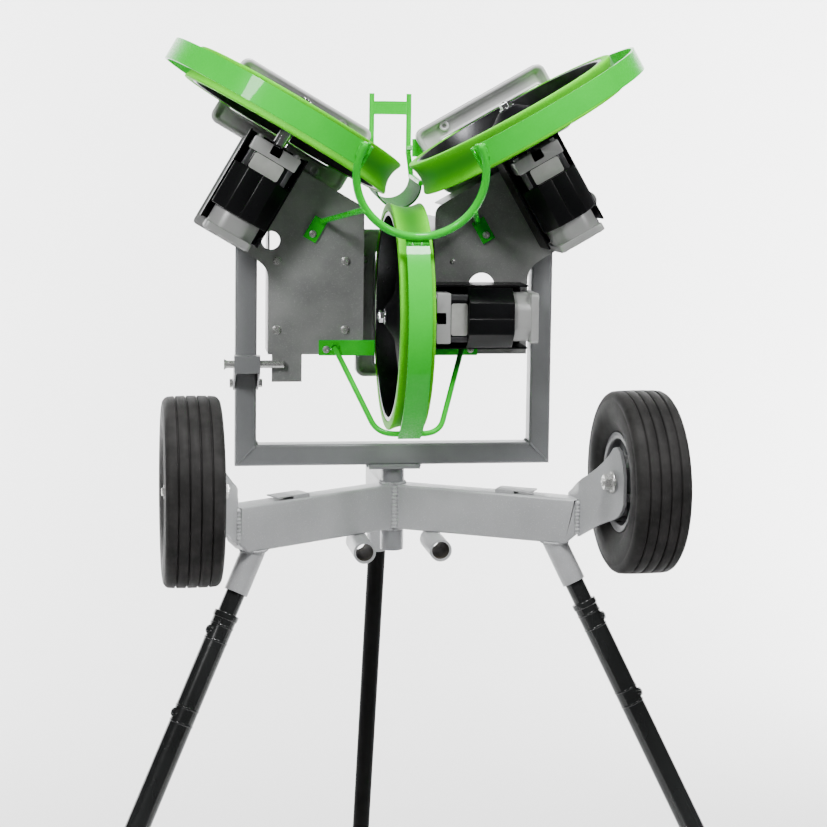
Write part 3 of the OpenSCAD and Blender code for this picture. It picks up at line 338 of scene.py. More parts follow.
def spaced(path, gap):
    # The same path with points a fixed gap apart
    spots = [Vector(p) for p in path]
    result = [spots[0]]
    for a, b in zip(spots, spots[1:]):
        steps = max(1, round((b - a).length / gap))
        result += [a.lerp(b, (i + 1) / steps) for i in range(steps)]
    return [tuple(p) for p in result]


# Shapes: every helper below gives (points, faces)

def loft(rings, caps=True):
    # Rings of equal length joined side by side
    points = [p for ring in rings for p in ring]
    count = len(rings[0])
    faces = []
    for i in range(len(rings) - 1):
        for j in range(count):
            k = (j + 1) % count
            faces.append((i * count + j, i * count + k, (i + 1) * count + k, (i + 1) * count + j))
    if caps:
        faces.append(tuple(range(count)))
        faces.append(tuple(range(len(points) - count, len(points))))
    return points, faces


def loftLoop(rings):
    # The same without caps, and with the last ring joined to the first
    points, faces = loft(rings, caps=False)
    count = len(rings[0])
    last = (len(rings) - 1) * count
    for j in range(count):
        k = (j + 1) % count
        faces.append((last + j, last + k, k, j))
    return points, faces


def latheRing(profile, steps=96):
    # A closed profile of (radius, height) turned about the local Z axis
    turns = [cosSin(360 * i / steps) for i in range(steps)]
    return loftLoop([[(r * c, r * s, z) for r, z in profile] for c, s in turns])


def lathe(profile, steps=32):
    # An open profile from axis to axis
    return loft([[(x, y, z) for x, y in circle(max(r, 0.01), steps)] for r, z in profile])


def prism(outline, bottom, top, edge=0.0, steps=3):
    # An outline raised from bottom to top with rounded rims
    rings = []
    for i in range(steps + 1):
        turn = math.pi / 2 * i / steps
        ring = insetOutline(outline, edge * (1 - math.sin(turn)))
        rings.append([(x, y, bottom + edge * (1 - math.cos(turn))) for x, y in ring])
    for i in range(steps + 1):
        turn = math.pi / 2 * (1 - i / steps)
        ring = insetOutline(outline, edge * (1 - math.sin(turn)))
        rings.append([(x, y, top - edge * (1 - math.cos(turn))) for x, y in ring])
    return loft(rings)


def moved(shape, x=0, y=0, z=0):
    return [(p[0] + x, p[1] + y, p[2] + z) for p in shape[0]], shape[1]


def flipped(shape):
    # Raised along Y in place of Z: (x, y, z) becomes (x, z, y)
    return [(p[0], p[2], p[1]) for p in shape[0]], shape[1]


def turned(shape, angle):
    c, s = cosSin(angle)
    return [(x * c - y * s, x * s + y * c, z) for x, y, z in shape[0]], shape[1]


def along(shape, at, way, spin=0.0):
    # Turns a shape built along Z to point another way, and moves it
    way = Vector(way).normalized()
    side = Vector((1, 0, 0)) if abs(way.z) > 0.999 else way.orthogonal().normalized()
    other = way.cross(side)
    c, s = cosSin(spin)
    x, y = side * c + other * s, other * c - side * s
    spot = Vector(at)
    return [tuple(spot + x * p[0] + y * p[1] + way * p[2]) for p in shape[0]], shape[1]


def block(low, high, edge=1.0, corner=None):
    # A box with all its edges rounded
    centre = [(a + b) / 2 for a, b in zip(low, high)]
    outline = roundRect(high[0] - low[0], high[1] - low[1], edge if corner is None else corner, 3)
    return moved(prism(outline, low[2], high[2], edge), centre[0], centre[1])


def sweep(path, radius, sides=14):
    # A round rod along a path; radius may vary from point to point
    spots = [Vector(p) for p in path]
    count = len(spots)
    sizes = radius if isinstance(radius, (list, tuple)) else [radius] * count
    rings = []
    normal = None
    for i, spot in enumerate(spots):
        way = (spots[min(i + 1, count - 1)] - spots[max(i - 1, 0)]).normalized()
        if normal is None:
            normal = way.cross(Vector((0.31, 0.57, 0.76))).normalized()
        normal = (normal - way * normal.dot(way)).normalized()
        across = way.cross(normal)
        rings.append([tuple(spot + (normal * c + across * s) * sizes[i]) for c, s in circle(1, sides)])
    return loft(rings)


def weldBead(path, radius, ripple=2.6):
    line = spaced(path, ripple / 4)
    sizes = [radius * (0.92 + 0.14 * math.sin(i * math.pi / 2) + 0.08 * math.sin(i * 0.37))
             for i in range(len(line))]
    sizes[0] = sizes[-1] = radius * 0.45
    return sweep(line, sizes, 8)


def pin(radius, length, at, way, tip=0.0, steps=32):
    # A plain round pin, or a screw's end whose tip is tapered by some millimetres
    taper = [(radius, length - tip), (radius - tip, length)] if tip else [(radius, length)]
    return along(lathe([(0, 0), (radius, 0), *taper, (0, length)], steps), at, way)


def hexBolt(at, way, across, height, washer=0.0, stud=0.0):
    shapes = []
    thick = across * 0.12 if washer else 0.0
    if washer:
        disc = [(0, 0), (washer, 0), (washer, thick * 0.7), (washer - 0.6, thick), (0, thick)]
        shapes.append(along(lathe(disc, 28), at, way))
    outline = circle(across / 2 / math.cos(math.pi / 6), 6)
    head = loft([[(x * scale, y * scale, z) for x, y in outline]
                 for scale, z in ((1, 0), (1, height * 0.82), (0.93, height))])
    shapes.append(along(moved(head, 0, 0, thick), at, way, 17))
    if stud:
        end = thick + height + stud
        tail = [(0, 0), (across * 0.27, 0), (across * 0.27, end - 1), (across * 0.2, end), (0, end)]
        shapes.append(along(lathe(tail, 20), at, way))
    return shapes


def panScrew(at, way, radius, height):
    # A pan head with a cross recess left as a dimple
    dome = [(0, 0), (1, 0), (1, 0.45), (0.86, 0.8), (0.6, 0.97), (0.34, 1), (0.2, 0.55), (0, 0.5)]
    return [along(lathe([(radius * r, height * z) for r, z in dome], 24), at, way)]


def addPiece(name, shapes, place, finish, body, flat=35, stands=None, grooveShade=None):
    # Builds one mesh from its shapes, closes its normals, and lets it ride on its body
    mesh = bpy.data.meshes.new(name)
    work = bmesh.new()
    for points, faces in shapes:
        made = [work.verts.new(place(*p)) for p in points]
        for face in faces:
            work.faces.new([made[i] for i in face])
    bmesh.ops.recalc_face_normals(work, faces=work.faces)
    work.to_mesh(mesh)
    work.free()
    mesh.shade_smooth()
    mesh.set_sharp_from_angle(angle=math.radians(flat))
    mesh.materials.append(finish)
    # Painted shade: a hollow value on each point, which darkens the colour in the tyre's groove
    if grooveShade:
        hollow = mesh.attributes.new("hollow", "FLOAT", "POINT")
        for spot, value in zip(mesh.vertices, hollow.data):
            value.value = grooveShade(spot.co)
    item = bpy.data.objects.new(name, mesh)
    bpy.context.scene.collection.objects.link(item)
    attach(item, body)
    if stands:
        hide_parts(stands)


fourCorners = ((-1, -1), (-1, 1), (1, -1), (1, 1))    # for screws and lugs at a square's corners


# Bowling wheels: urethane tyre, polished rim ring, black dished web and the shaft's clamp hub

bowlingWheel = {
    "radius": 194, "half": 28.5, "inner": 180, "groove": 49, "depth": 6.5, "lip": 23.6, "round": 3.4,
    "rimInner": 172, "rimHalf": 27.5, "webScrews": 17.4, "setScrews": (11.7, 36)}


def tyreProfile(look):
    outer, half, lip, groove = look["radius"], look["half"], look["lip"], look["groove"]
    edge = [(look["inner"], -half), (outer, -half), (outer - 0.1, -lip)]
    start = rounded(edge, look["round"], 6, closed=False)
    lean = math.degrees(math.asin(lip / groove))
    hollow = arcPoints((outer - look["depth"] + groove, 0), groove, 180 + lean, 180 - lean, 22)
    return start[:-1] + hollow + [(r, -t) for r, t in reversed(start[:-1])]


def webProfile():
    top = [(9, 5), (21, 5), (23, -4), (34, -9), (120, 5), (150, 12), (172, 15.5)]
    bottom = [(172, 10), (150, 7), (118, 0), (54, -10.5), (38, -15), (17, -30.5), (9, -30.5)]
    return rounded(top + bottom, [1, 2, 3, 6, 20, 12, 0.5, 0.5, 8, 20, 6, 6, 2, 1], 5)


def grooveShadeOf(name):
    # How deep a point lies in the ball groove, from 0 on the lips to 1 at the bottom: how much painted shade it
    # gets
    look = bowlingWheel
    outward, axle = wheelAxes(name)
    centre = flight + outward * wheelReach * mm

    def grooveShade(point):
        offset = point - centre
        height = offset.dot(axle)
        radius = (offset - axle * height).length / mm
        if abs(height) / mm > look["lip"] + 0.5:
            return 0.0
        return min(1.0, max(0.0, (look["radius"] - radius) / look["depth"]))
    return grooveShade


def makeBowlingWheel(name):
    look = bowlingWheel
    body = name + "_bowling_wheel"
    place = wheelPlace(name)
    addPiece(name + "BowlingTyre", [latheRing(tyreProfile(look), 144)], place, limeUrethane, body,
             stands=name + "_bowling_tyre", grooveShade=grooveShadeOf(name))
    low, high, half = look["rimInner"], look["inner"] - 0.2, look["rimHalf"]
    ring = rounded([(low, -half), (high, -half), (high, half), (low, half)], 1.6, 3)
    addPiece(name + "WheelRim", [latheRing(ring, 144)], place, polishedRimPaintedShade, body,
             stands=name + "_bowling_disc")
    addPiece(name + "WheelWeb", [latheRing(webProfile(), 96)], place, blackDisc, body,
             stands=name + "_bowling_disc")
    # Sleeve on the motor's shaft: a flange on the web, a polished tube and two sunk screws
    sleeve = rounded([(0, 4), (21, 4), (21, 9), (14, 10.5), (12, 14), (12, 49), (8, 50), (8, 70), (0, 70)],
                     [0, 1, 1.5, 3, 4, 1.5, 0.4, 1, 0], 4)
    shapes = [lathe(sleeve, 56)]
    screw = lathe([(0, 0), (3, 0), (3, 0.9), (2.2, 1.3), (1.8, 0.5), (0, 0.4)], 18)
    reach, height = look["setScrews"]
    for c, s in (cosSin(40), cosSin(220)):
        shapes.append(along(screw, (reach * c, reach * s, height), (c, s, 0)))
    for turn in range(0, 360, 60):
        c, s = cosSin(turn)
        shapes += hexBolt((look["webScrews"] * c, look["webScrews"] * s, 9.2), (0, 0, 1), 4.6, 2.6)
    shapes += hexBolt((0, 0, -31), (0, 0, -1), 19, 9, washer=14, stud=2.5)
    addPiece(name + "ShaftHub", shapes, place, polishedChrome, body,
             stands=name + "_shaft_hub")


# Motors: a notched front casting, a black barrel and stack with a bare label, a rear bell and its flange

motor = {
    "half": 43, "front": 52, "barrel": 76, "stack": 106, "bell": 185, "flange": 215, "end": 228,
    "stackHalf": 51, "chamfer": 24, "notch": 8.5, "notchDepth": 15, "lugAt": 36, "lugHalf": 4.5,
    "lugLength": 29.5, "frontBolts": 35, "rearScrews": 34, "label": (55, 28), "labelAt": (2, 91),
    "labelFront": (-41.7, -40.6)}


def stackOutline(look):
    # An octagon with a fine seam along the middle of each main face
    half, flat = look["stackHalf"], look["stackHalf"] - look["chamfer"]
    side = [(half, -flat), (half, -0.9), (half - 1.1, 0), (half, 0.9), (half, flat)]
    points = []
    for c, s in ((1, 0), (0, 1), (-1, 0), (0, -1)):
        points += [(x * c - y * s, x * s + y * c) for x, y in side]
    return points


def makeMotor(name):
    look = motor
    place = wheelPlace(name)
    half, front, barrel = look["half"], look["front"], look["barrel"]
    gap, floor = look["notch"], front + look["notchDepth"]
    notched = [(-half, front), (-gap, front), (-gap, floor), (gap, floor), (gap, front), (half, front),
               (half, barrel), (-half, barrel)]
    whole = [(-half, front), (half, front), (half, barrel), (-half, barrel)]
    lugs, lugAt, size = [], look["lugAt"], look["lugHalf"]
    for u, y in fourCorners:
        lugs.append(block((u * lugAt - size, y * lugAt - size, barrel - 1),
                          (u * lugAt + size, y * lugAt + size, barrel + look["lugLength"]), 1.4))
    addPiece(name + "MotorLugs", lugs, place, lugGrey, "head", stands="motor_castings")
    cast = [flipped(prism(rounded(notched, [2.5, 0.8, 0.8, 0.8, 0.8, 2.5, 2.5, 2.5], 3), -half, 10, 1.2, 2)),
            flipped(prism(rounded(whole, 2.5, 3), 2, half, 3, 3))]
    cast += hexBolt((0, -33, floor), (0, 0, -1), 8, 4.5, washer=5.2)
    boltAt = look["frontBolts"]
    for u, y in fourCorners:
        cast += hexBolt((u * boltAt, y * boltAt, front), (0, 0, -1), 9, 3.6, washer=5.6)
    addPiece(name + "MotorFront", cast, place, castAluminium, "head",
             stands="motor_castings")
    shell = [prism(rounded(chamferedSquare(82, 9), 3, 3), barrel - 0.5, look["stack"] + 0.5, 0.6),
             prism(rounded(stackOutline(look), 1.0, 2), look["stack"], look["bell"], 1.2)]
    addPiece(name + "MotorStack", shell, place, motorBlack, "head",
             stands=name + "_motor")
    paper = prism(roundRect(*look["label"], 4, 5), *look["labelFront"], 0.25)
    addPiece(name + "MotorLabel", [flipped(moved(paper, *look["labelAt"]))], place, labelPaper, "head")
    flange, end, screwAt = look["flange"], look["end"], look["rearScrews"]
    bell = [prism(rounded(chamferedSquare(84, 22), 9, 6), look["bell"] - 0.5, flange + 0.5, 1.8),
            prism(rounded(chamferedSquare(86, 4), 3, 3), flange, end, 1.4),
            prism(rounded(chamferedSquare(70, 12), 6, 4), end - 0.5, end + 1.6, 0.8)]
    for u, y in fourCorners:
        bell += panScrew((u * screwAt, y * screwAt, end), (0, 0, 1), 4, 1.4)
    cap = [(0, end), (15, end), (15, end + 2.6), (13.4, end + 3.4), (0, end + 3.4)]
    addPiece(name + "MotorBell", bell + [lathe(cap, 36)], place, castAluminium, "head",
             stands="motor_castings")


# Cast trays: a rounded lip, a sloping recess, a raised rim round the wheel's slot and two bosses

tray = {
    "middle": 211, "halfLong": 133, "halfWide": 65, "corner": 16, "slotMiddle": 220,
    "slotHalf": (103.5, 29.2), "back": 176, "lip": 158, "floor": 170, "boss": (134, 48)}


def makeTray(name):
    look = tray
    back, lip, floor = look["back"], look["lip"], look["floor"]

    def ring(inset, y):
        outline = roundRect(2 * (look["halfLong"] - inset), 2 * (look["halfWide"] - inset),
                            max(4, look["corner"] - inset * 0.7), 7)
        return [(x + look["middle"], y, z) for x, z in outline]

    def slotRing(outset, y):
        longHalf, wideHalf = look["slotHalf"]
        outline = roundRect(2 * (longHalf + outset), 2 * (wideHalf + outset * 1.3), 5 + outset, 7)
        return [(x + look["slotMiddle"], y, z) for x, z in outline]

    outer = [(1.6, back), (0.4, back - 0.5), (0, back - 1.8), (0, lip + 3), (0.5, lip + 1.2),
             (1.5, lip + 0.3), (2.8, lip), (5.0, lip), (6.4, lip + 0.4), (7.4, lip + 1.6), (9.0, floor - 5),
             (11, floor - 1.6), (14, floor)]
    inner = [(4, floor), (3.2, floor - 1), (2.6, floor - 3.2), (1.6, floor - 4), (0.8, floor - 3.8),
             (0, floor - 2.6), (0, back)]
    shapes = [loftLoop([ring(*step) for step in outer] + [slotRing(*step) for step in inner])]
    out, across = look["boss"]
    boss = latheRing(rounded([(4, 0), (9, 0), (9, 7), (4, 7)], [0.5, 0.5, 1.6, 1.2], 3), 28)
    shapes += [along(boss, (out, floor + 1, t), (0, -1, 0)) for t in (-across, across)]
    addPiece(name + "Tray", shapes, sectorPlace(name), castAluminium, "head",
             stands=name + "_tray")


for name in wheelAngles:
    makeBowlingWheel(name)
    makeMotor(name)
    makeTray(name)
print("bowling wheels, motors and trays built")


# Guards: the thick ends of the front ring, and weld beads where rods and bands meet

guard = {
    "ringRadius": 104, "ringY": -203, "ringZ": 24, "ringLean": 16.7, "ringOpen": 17, "ringMore": 13,
    "rod": 6.6, "bandRadius": {"left": 234, "right": 234, "lower": 215}, "upperEnd": 120,
    "lowerEnd": 130, "lowerStart": 25}


def ringPoint(side, rise):
    # A point of the front ring, which lies some degrees above its middle
    look = guard
    leanCos, leanSin = cosSin(look["ringLean"])
    c, s = cosSin(rise)
    across, up = look["ringRadius"] * c, look["ringRadius"] * s
    return (side * across, look["ringY"] - up * leanSin, look["ringZ"] + up * leanCos)


def bandWeld(name, angle, spread, lift, size, ripple=2.6):
    # A weld across a guard band: the angle runs from straight out, through the front, to the ball
    c, s = cosSin(angle)
    radius = guard["bandRadius"][name] + lift
    place = wheelPlace(name)
    return weldBead([tuple((place(radius * c, -radius * s, t) - flight) / mm) for t in spread], size, ripple)


def makeGuardWelds():
    look = guard
    end, start = look["lowerEnd"], look["lowerStart"]
    shapes = []
    for name in ("left", "right"):
        shapes += [bandWeld(name, look["upperEnd"] - 0.4, (-19, 0, 19), lift, 3.4) for lift in (3.5, -3.0)]
        shapes.append(bandWeld(name, look["upperEnd"] - 2, (-16, 16), 2.4, 2.6))
    for angle, lift, size, ripple in ((end - 0.8, 3, 4.6, 4.0), (end - 2.4, 3, 3.4, 4.0),
                                      (end - 0.8, -3, 3.0, 2.6), (start + 0.6, -2, 2.6, 2.6)):
        shapes.append(bandWeld("lower", angle, (-18, 18), lift, size, ripple))
    for side in (-1, 1):
        arc = [ringPoint(side, look["ringOpen"] + look["ringMore"] * i / 8) for i in range(-1, 9)]
        shapes.append(sweep(arc, [look["rod"]] * 8 + [look["rod"] * 0.9, look["rod"] * 0.5], 20))
        for across in (-1, 1):
            seam = [tuple(Vector(p) + Vector((across * 5.5, -1.5, 0))) for p in arc[1:]]
            shapes.append(weldBead(seam, 3.0))
    addPiece("guardWelds", shapes, headPlace, guardGreen, "head")


# Foot guard: two flat bars and one rod bent in smooth curves under the lower wheel
footGuard = {
    "bars": ((-140, -42, -267), (42, 140, -275.3)), "low": -294, "plate": 60, "thick": 4, "top": (112, -280),
    "corner": (46, -88.2, -409.1), "rod": 4.8, "bend": 30, "weld": (7, 6)}


def makeFootGuard():
    look = footGuard
    front = look["plate"] - look["thick"]
    shapes = [block((start, front, look["low"]), (end, look["plate"], high), 1.4, 1.4)
              for start, end, high in look["bars"]]
    x, y, z = look["corner"]
    topX, topZ = look["top"]
    corners = [(-topX, front - 1, topZ), (-x - 6, y, z), (x + 6, y, z), (topX, front - 1, topZ)]
    shapes.append(sweep(spaced(rounded(corners, look["bend"], 10, closed=False), 12), look["rod"], 20))
    wide, high = look["weld"]
    for side in (-1, 1):
        foot = Vector((side * topX, front - 0.5, topZ))
        turns = [i * math.pi / 6 for i in range(13)]
        ring = [tuple(foot + Vector((wide * math.cos(a), 0, high * math.sin(a)))) for a in turns]
        shapes.append(weldBead(ring, 2.2))
    addPiece("footGuardRod", shapes, headPlace, guardGreen, "head", stands="guard_foot")


makeGuardWelds()
makeFootGuard()


# Screws of the head: washers, hexagon heads and the ears' pan heads

headScrews = {
    "across": (-213, -94), "drop": (-129, -249), "ear": (152, -82), "foot": (127, -283), "small": (94, -129),
    "plate": 60, "earThick": 4, "tail": (4, 13)}


def makeHeadScrews():
    look = headScrews
    plate, (radius, length) = look["plate"], look["tail"]
    ahead, behind = (0, -1, 0), (0, 1, 0)
    small = (look["small"][0], plate, look["small"][1])
    shapes = panScrew(small, ahead, 4, 2.2) + [pin(radius, 9, small, behind, 1, 20)]
    for x in look["across"]:
        for z in look["drop"]:
            shapes += hexBolt((x, plate, z), ahead, 10, 4.2, washer=7.6)
            shapes.append(pin(radius, length, (x, plate, z), behind, 1, 20))
    for side in (-1, 1):
        for x, z in (look["ear"], look["foot"]):
            at = (side * x, plate - look["earThick"], z)
            shapes += panScrew(at, ahead, 6.6, 4) + [pin(radius, length, at, behind, 1, 20)]
    addPiece("headScrews", shapes, headPlace, zincSteel, "head", stands="plate_bolts")


makeHeadScrews()


# Transport wheels: a ribbed tyre with a rounded shoulder, and a pressed rim

transport = {
    "track": 373, "ahead": 267, "axle": 1513, "outer": 153.5, "half": 47.5, "grooves": 4, "pitch": 17.4,
    "grooveHalf": 1.3, "grooveDepth": 4.0, "cups": 5, "cupAt": 55, "valveAt": 62}


def transportPlace(side):
    centre = basePlace(side * transport["track"], -transport["ahead"], transport["axle"])
    return placeFrom(centre, zWay * -1 if side > 0 else zWay, baseBack, baseAcross * side)


def makeTransportWheel(name, side):
    look = transport
    outer, half, gap = look["outer"], look["half"], look["grooveHalf"]
    low = outer - look["grooveDepth"]
    crown = []
    for i in range(look["grooves"]):
        t = (i - (look["grooves"] - 1) / 2) * look["pitch"]
        drop = 1.4 * (t / half) ** 2
        crown += [(outer - drop, t - gap - 0.8), (outer - drop - 0.9, t - gap), (low, t - 0.8),
                  (low, t + 0.8), (outer - drop - 0.9, t + gap), (outer - drop, t + gap + 0.8)]
    shoulder = [(outer - 1.3, 38), (outer - 3.4, 42), (outer - 8, 45.4), (outer - 14, 46.6),
                (outer - 15.4, 46.2), (outer - 16.6, 46.9), (outer - 32, 47.5), (outer - 46, 46),
                (103, 43.4), (94, 39.6), (88.5, 37), (86.5, 35.4), (85, 34), (77, 31)]
    profile = [(77, -31)] + [(r, -t) for r, t in reversed(shoulder[:-1])] + crown + shoulder
    addPiece(name + "TransportTyre", [latheRing(profile, 128)], transportPlace(side), tyreRubber,
             name + "_transport_wheel", flat=50, stands=name + "_tyre")
    # Pressed rim: two flanges, a well, a dished centre, the bearing tube, cups round it and a valve
    disc = [(8.3, -29), (21, -29), (21, -7), (46, -6), (57, -13), (71, -17), (72, -34), (82, -36),
            (84, -35.4), (83.6, -33.2), (77, -31.5), (76, -28), (76, 28), (77, 31.5), (83.6, 33.2),
            (84, 35.4), (82, 36), (72, 34), (71, -11), (58, -7), (47, 0), (21, 1), (21, 29), (8.3, 29)]
    sizes = [1, 2, 2, 6, 6, 4, 4, 1, 1, 1, 2, 3, 3, 2, 1, 1, 1, 4, 4, 6, 6, 2, 2, 1]
    shapes = [latheRing(rounded(disc, sizes, 4), 96)]
    cup = lathe([(0, 2.5), (5, 2.2), (9, 0), (10.5, -1.8), (12, -2.2), (13.6, -1.2), (14.5, 1.5), (14.5, 6),
                 (0, 6)], 32)
    for i in range(look["cups"]):
        c, s = cosSin(18 + 360 // look["cups"] * i)
        shapes.append(along(cup, (look["cupAt"] * c, look["cupAt"] * s, -14), (0, 0, 1)))
    valve = lathe([(0, 0), (4.2, 0), (4.2, 10), (3.4, 12), (3.4, 20), (2.6, 21), (0, 21)], 16)
    shapes.append(along(valve, (look["valveAt"], 0, -15), (0, 0, -1)))
    addPiece(name + "TransportRim", shapes, transportPlace(side), rimGrey, name + "_transport_wheel",
             stands=name + "_rim")


# Axles: a nut and a spacer inside each bracket, and a nut outside the rim

axle = {"inner": 329, "outer": 337.5, "rim": 402, "across": 24, "spacer": (13, 6), "pin": (8, 90)}


def makeAxles():
    look, wheel = axle, transport
    shapes = []
    for side in (-1, 1):
        outward = (side, 0, 0)

        def at(across):
            return (side * across, -wheel["ahead"], wheel["axle"])
        shapes += hexBolt(at(look["inner"]), (-side, 0, 0), look["across"], 13, washer=18, stud=3)
        shapes.append(pin(*look["spacer"], at(look["outer"]), outward))
        shapes.append(pin(*look["pin"], at(look["inner"] - 4), outward))
        shapes += hexBolt(at(look["rim"] + 0.4), outward, look["across"], 11, washer=16, stud=4)
    addPiece("axleBolts", shapes, basePlace, zincSteel, "base", stands="transport_axles")


makeTransportWheel("left", -1)
makeTransportWheel("right", 1)
makeAxles()
print("transport wheels and screws built")


# Base: chamfered arms of rounded tube, and weld beads at the hub, sockets and brackets

base = {
    "low": 1389, "top": 1469, "half": 20, "front": 346, "rear": 190, "edge": 4.5, "cut": (20, 18), "hub": 21,
    "frontAngles": (210, 330), "rearAngle": 90, "lean": 28, "socket": 20.5, "legStart": 302,
    "bracketAt": (291, -192), "tubeAt": 67, "tubeFrom": -118, "tubeLength": 96, "tubeRadius": 19.5}


def armShape(look, length):
    low, top, (cutX, cutZ) = look["low"], look["top"], look["cut"]
    outline = [(6, low), (length - cutX, low), (length, low + cutZ), (length, top), (6, top)]
    return flipped(prism(rounded(outline, [0, 5, 5, 2, 0], 4), -look["half"], look["half"], look["edge"], 5))


def makeBaseArms():
    look = base
    shapes = [turned(armShape(look, look["front"]), angle) for angle in look["frontAngles"]]
    shapes.append(turned(armShape(look, look["rear"]), look["rearAngle"]))
    addPiece("baseArms", shapes, basePlace, armSilverPaintedLight, "base", stands="base_arms")


def makeBaseWelds():
    look = base
    low, top, half, reach = look["low"], look["top"], look["half"], look["hub"] + 0.6
    shapes = []

    def upright(x, y, bottom, high, size, ripple=2.6):
        shapes.append(weldBead([(x, y, bottom), (x, y, high)], size, ripple))

    for angle in (*look["frontAngles"], look["rearAngle"]):
        # Round the foot of each arm where it meets the hub tube
        spread = math.degrees(math.asin(half / (look["hub"] + 1)))
        for side in (-1, 1):
            c, s = cosSin(angle + side * spread)
            upright(reach * c, reach * s, low + 3, top - 1, 3.2)
        for z in (low - 0.5, top + 0.5):
            turns = [cosSin(angle + d) for d in range(-62, 63, 12)]
            shapes.append(weldBead([(reach * c, reach * s, z) for c, s in turns], 3.4))
    upright(0, -half / math.cos(math.radians(30)) + 0.5, low + 2, top - 1, 7.5, 6.5)
    x, y = look["bracketAt"]
    for side in (-1, 1):
        upright(side * x, y, low + look["cut"][1] + 2, top - 2, 4.6, 6.5)
    for angle in look["frontAngles"]:
        # Round each front leg's socket, where its slanted tube meets the arm
        slant = look["socket"] / math.cos(math.radians(look["lean"]))
        turns = [2 * math.pi * i / 24 for i in range(25)]
        ring = [(look["legStart"] + slant * math.cos(a), (look["socket"] + 0.5) * math.sin(a), low - 0.6)
                for a in turns]
        shapes.append(turned(weldBead([p for p in ring if p[1] <= half + 1], 2.6), angle))
    addPiece("baseWelds", shapes, basePlace, armSilverPaintedLight, "base")


# Wheel brackets: a plate folded off each front arm's end, wide round the axle and tapered to a peak.
# Each station is (out from the middle, ahead of the swivel axis, bottom, top).
bracket = {
    "thick": 6,
    "plate": [(292, 190, 1404, 1500), (296, 200, 1410, 1508), (302, 213, 1418, 1516),
              (311, 232, 1430, 1530), (319, 247, 1438, 1544), (325, 257, 1443, 1556),
              (330, 265, 1447, 1570), (333.5, 273, 1451, 1573), (336.5, 281, 1457, 1566),
              (339, 290, 1468, 1545), (340, 295, 1480, 1526)],
    "gusset": [(287, 143, 1466, 1472), (290, 160, 1466, 1483), (293, 180, 1466, 1497),
               (296, 200, 1466, 1507)]}


def makeBracket(name, side):
    look = bracket
    shapes = []
    for stations in (look["plate"], look["gusset"]):
        rings = []
        for i, (out, ahead, low, high) in enumerate(stations):
            before, after = stations[max(0, i - 1)], stations[min(len(stations) - 1, i + 1)]
            way = Vector((after[0] - before[0], after[1] - before[1])).normalized()
            back = Vector((way.y, -way.x)) * look["thick"]
            near, far = (side * out, -ahead), (side * (out + back.x), -ahead - back.y)
            rings.append([(*near, low), (*far, low), (*far, high), (*near, high)])
        shapes.append(loft(rings))
    addPiece(name + "BracketPlate", shapes, basePlace, armSilverPaintedLight, "base", flat=24,
             stands=name + "_wheel_bracket")


# Clips on the arms: a raised plate over the arm, open towards the wheel
clip = {"start": 198, "length": 68, "half": 17, "rise": 4.5, "thick": 2.2, "skirt": 34}


def makeClips():
    look = clip
    start, half, low = look["start"], look["half"], base["top"] + look["rise"]
    shapes = []
    for angle in base["frontAngles"]:
        plate = block((start, -half, low), (start + look["length"], half, low + look["thick"]), 0.9, 3)
        shapes.append(turned(plate, angle))
        for side in (-1, 1):
            near, far = sorted((side * half, side * half - side * look["thick"]))
            skirt = block((start, near, base["top"] - 0.5), (start + look["skirt"], far, low + 1), 0.6)
            shapes.append(turned(skirt, angle))
    addPiece("armClipPlates", shapes, basePlace, armSilverPaintedLight, "base", stands="arm_clips")


def makeTubeBores():
    # A dark brownish sheet inside each open handle tube: rust and painted shade on its inner wall
    look = base
    inner, outer, end = look["tubeRadius"] - 4.6, look["tubeRadius"] - 4.1, look["tubeLength"] - 3
    rustAndShadeSheet = latheRing([(outer, 3), (inner, 3), (inner, end), (outer, end)], 40)
    z = look["low"] - look["tubeRadius"]
    shapes = [along(rustAndShadeSheet, (x, look["tubeFrom"], z), (0, 1, 0)) for x in (-look["tubeAt"], look["tubeAt"])]
    addPiece("handleTubeBores", shapes, basePlace, boreShade, "base")


makeBaseArms()
makeBaseWelds()
makeBracket("left", -1)
makeBracket("right", 1)
makeClips()
makeTubeBores()


# Swivelling frame: one mitred U of rounded square tube with raised mitre welds

uFrame = {"half": 19, "post": 264, "bottom": 1504, "top": 1960, "round": 5.5}


def makeUFrame():
    look = uFrame
    half, post, low, top = look["half"], look["post"], look["bottom"], look["top"]
    bar, over = low + half, low + 2 * half
    section = roundRect(2 * half, 2 * half, look["round"], 5)

    def level(side, inset, z):
        scale = 1 - inset / half
        return [(side * (post + a * scale), b * scale, z) for a, b in section]

    ends = ((5, top), (1.6, top - 0.3), (0.5, top - 1.2), (0, top - 2.4))
    rings = [level(-1, *end) for end in ends]
    rings += [[(side * (post + a), b, bar - a) for a, b in section] for side in (-1, 1)]
    rings += [level(1, *end) for end in reversed(ends)]
    addPiece("uFrameTube", [loft(rings)], hubPlace, silverPaint, "swivel_frame",
             stands="u_frame")
    shapes = []
    for side in (-1, 1):
        for face in (-half - 0.1, half + 0.1):
            shapes.append(weldBead([(side * (post + half - 3), face, low + 3),
                                    (side * (post - half + 1), face, over - 1)], 2.5, 3.2))
        inner = side * (post - half - 0.2)
        shapes.append(weldBead([(inner, -14, over + 0.2), (inner, 14, over + 0.2)], 3.2))
    shapes += [weldBead([(x, -18, low - 1.2), (x, 18, low - 1.2)], 3.0) for x in (-46, 46)]
    shapes += [weldBead([(-42, y, low - 0.8), (42, y, low - 0.8)], 2.6) for y in (-20, 20)]
    addPiece("uFrameWelds", shapes, hubPlace, silverPaint, "swivel_frame")


makeUFrame()


# Legs: a rim, push buttons and swage rings on each telescopic sleeve

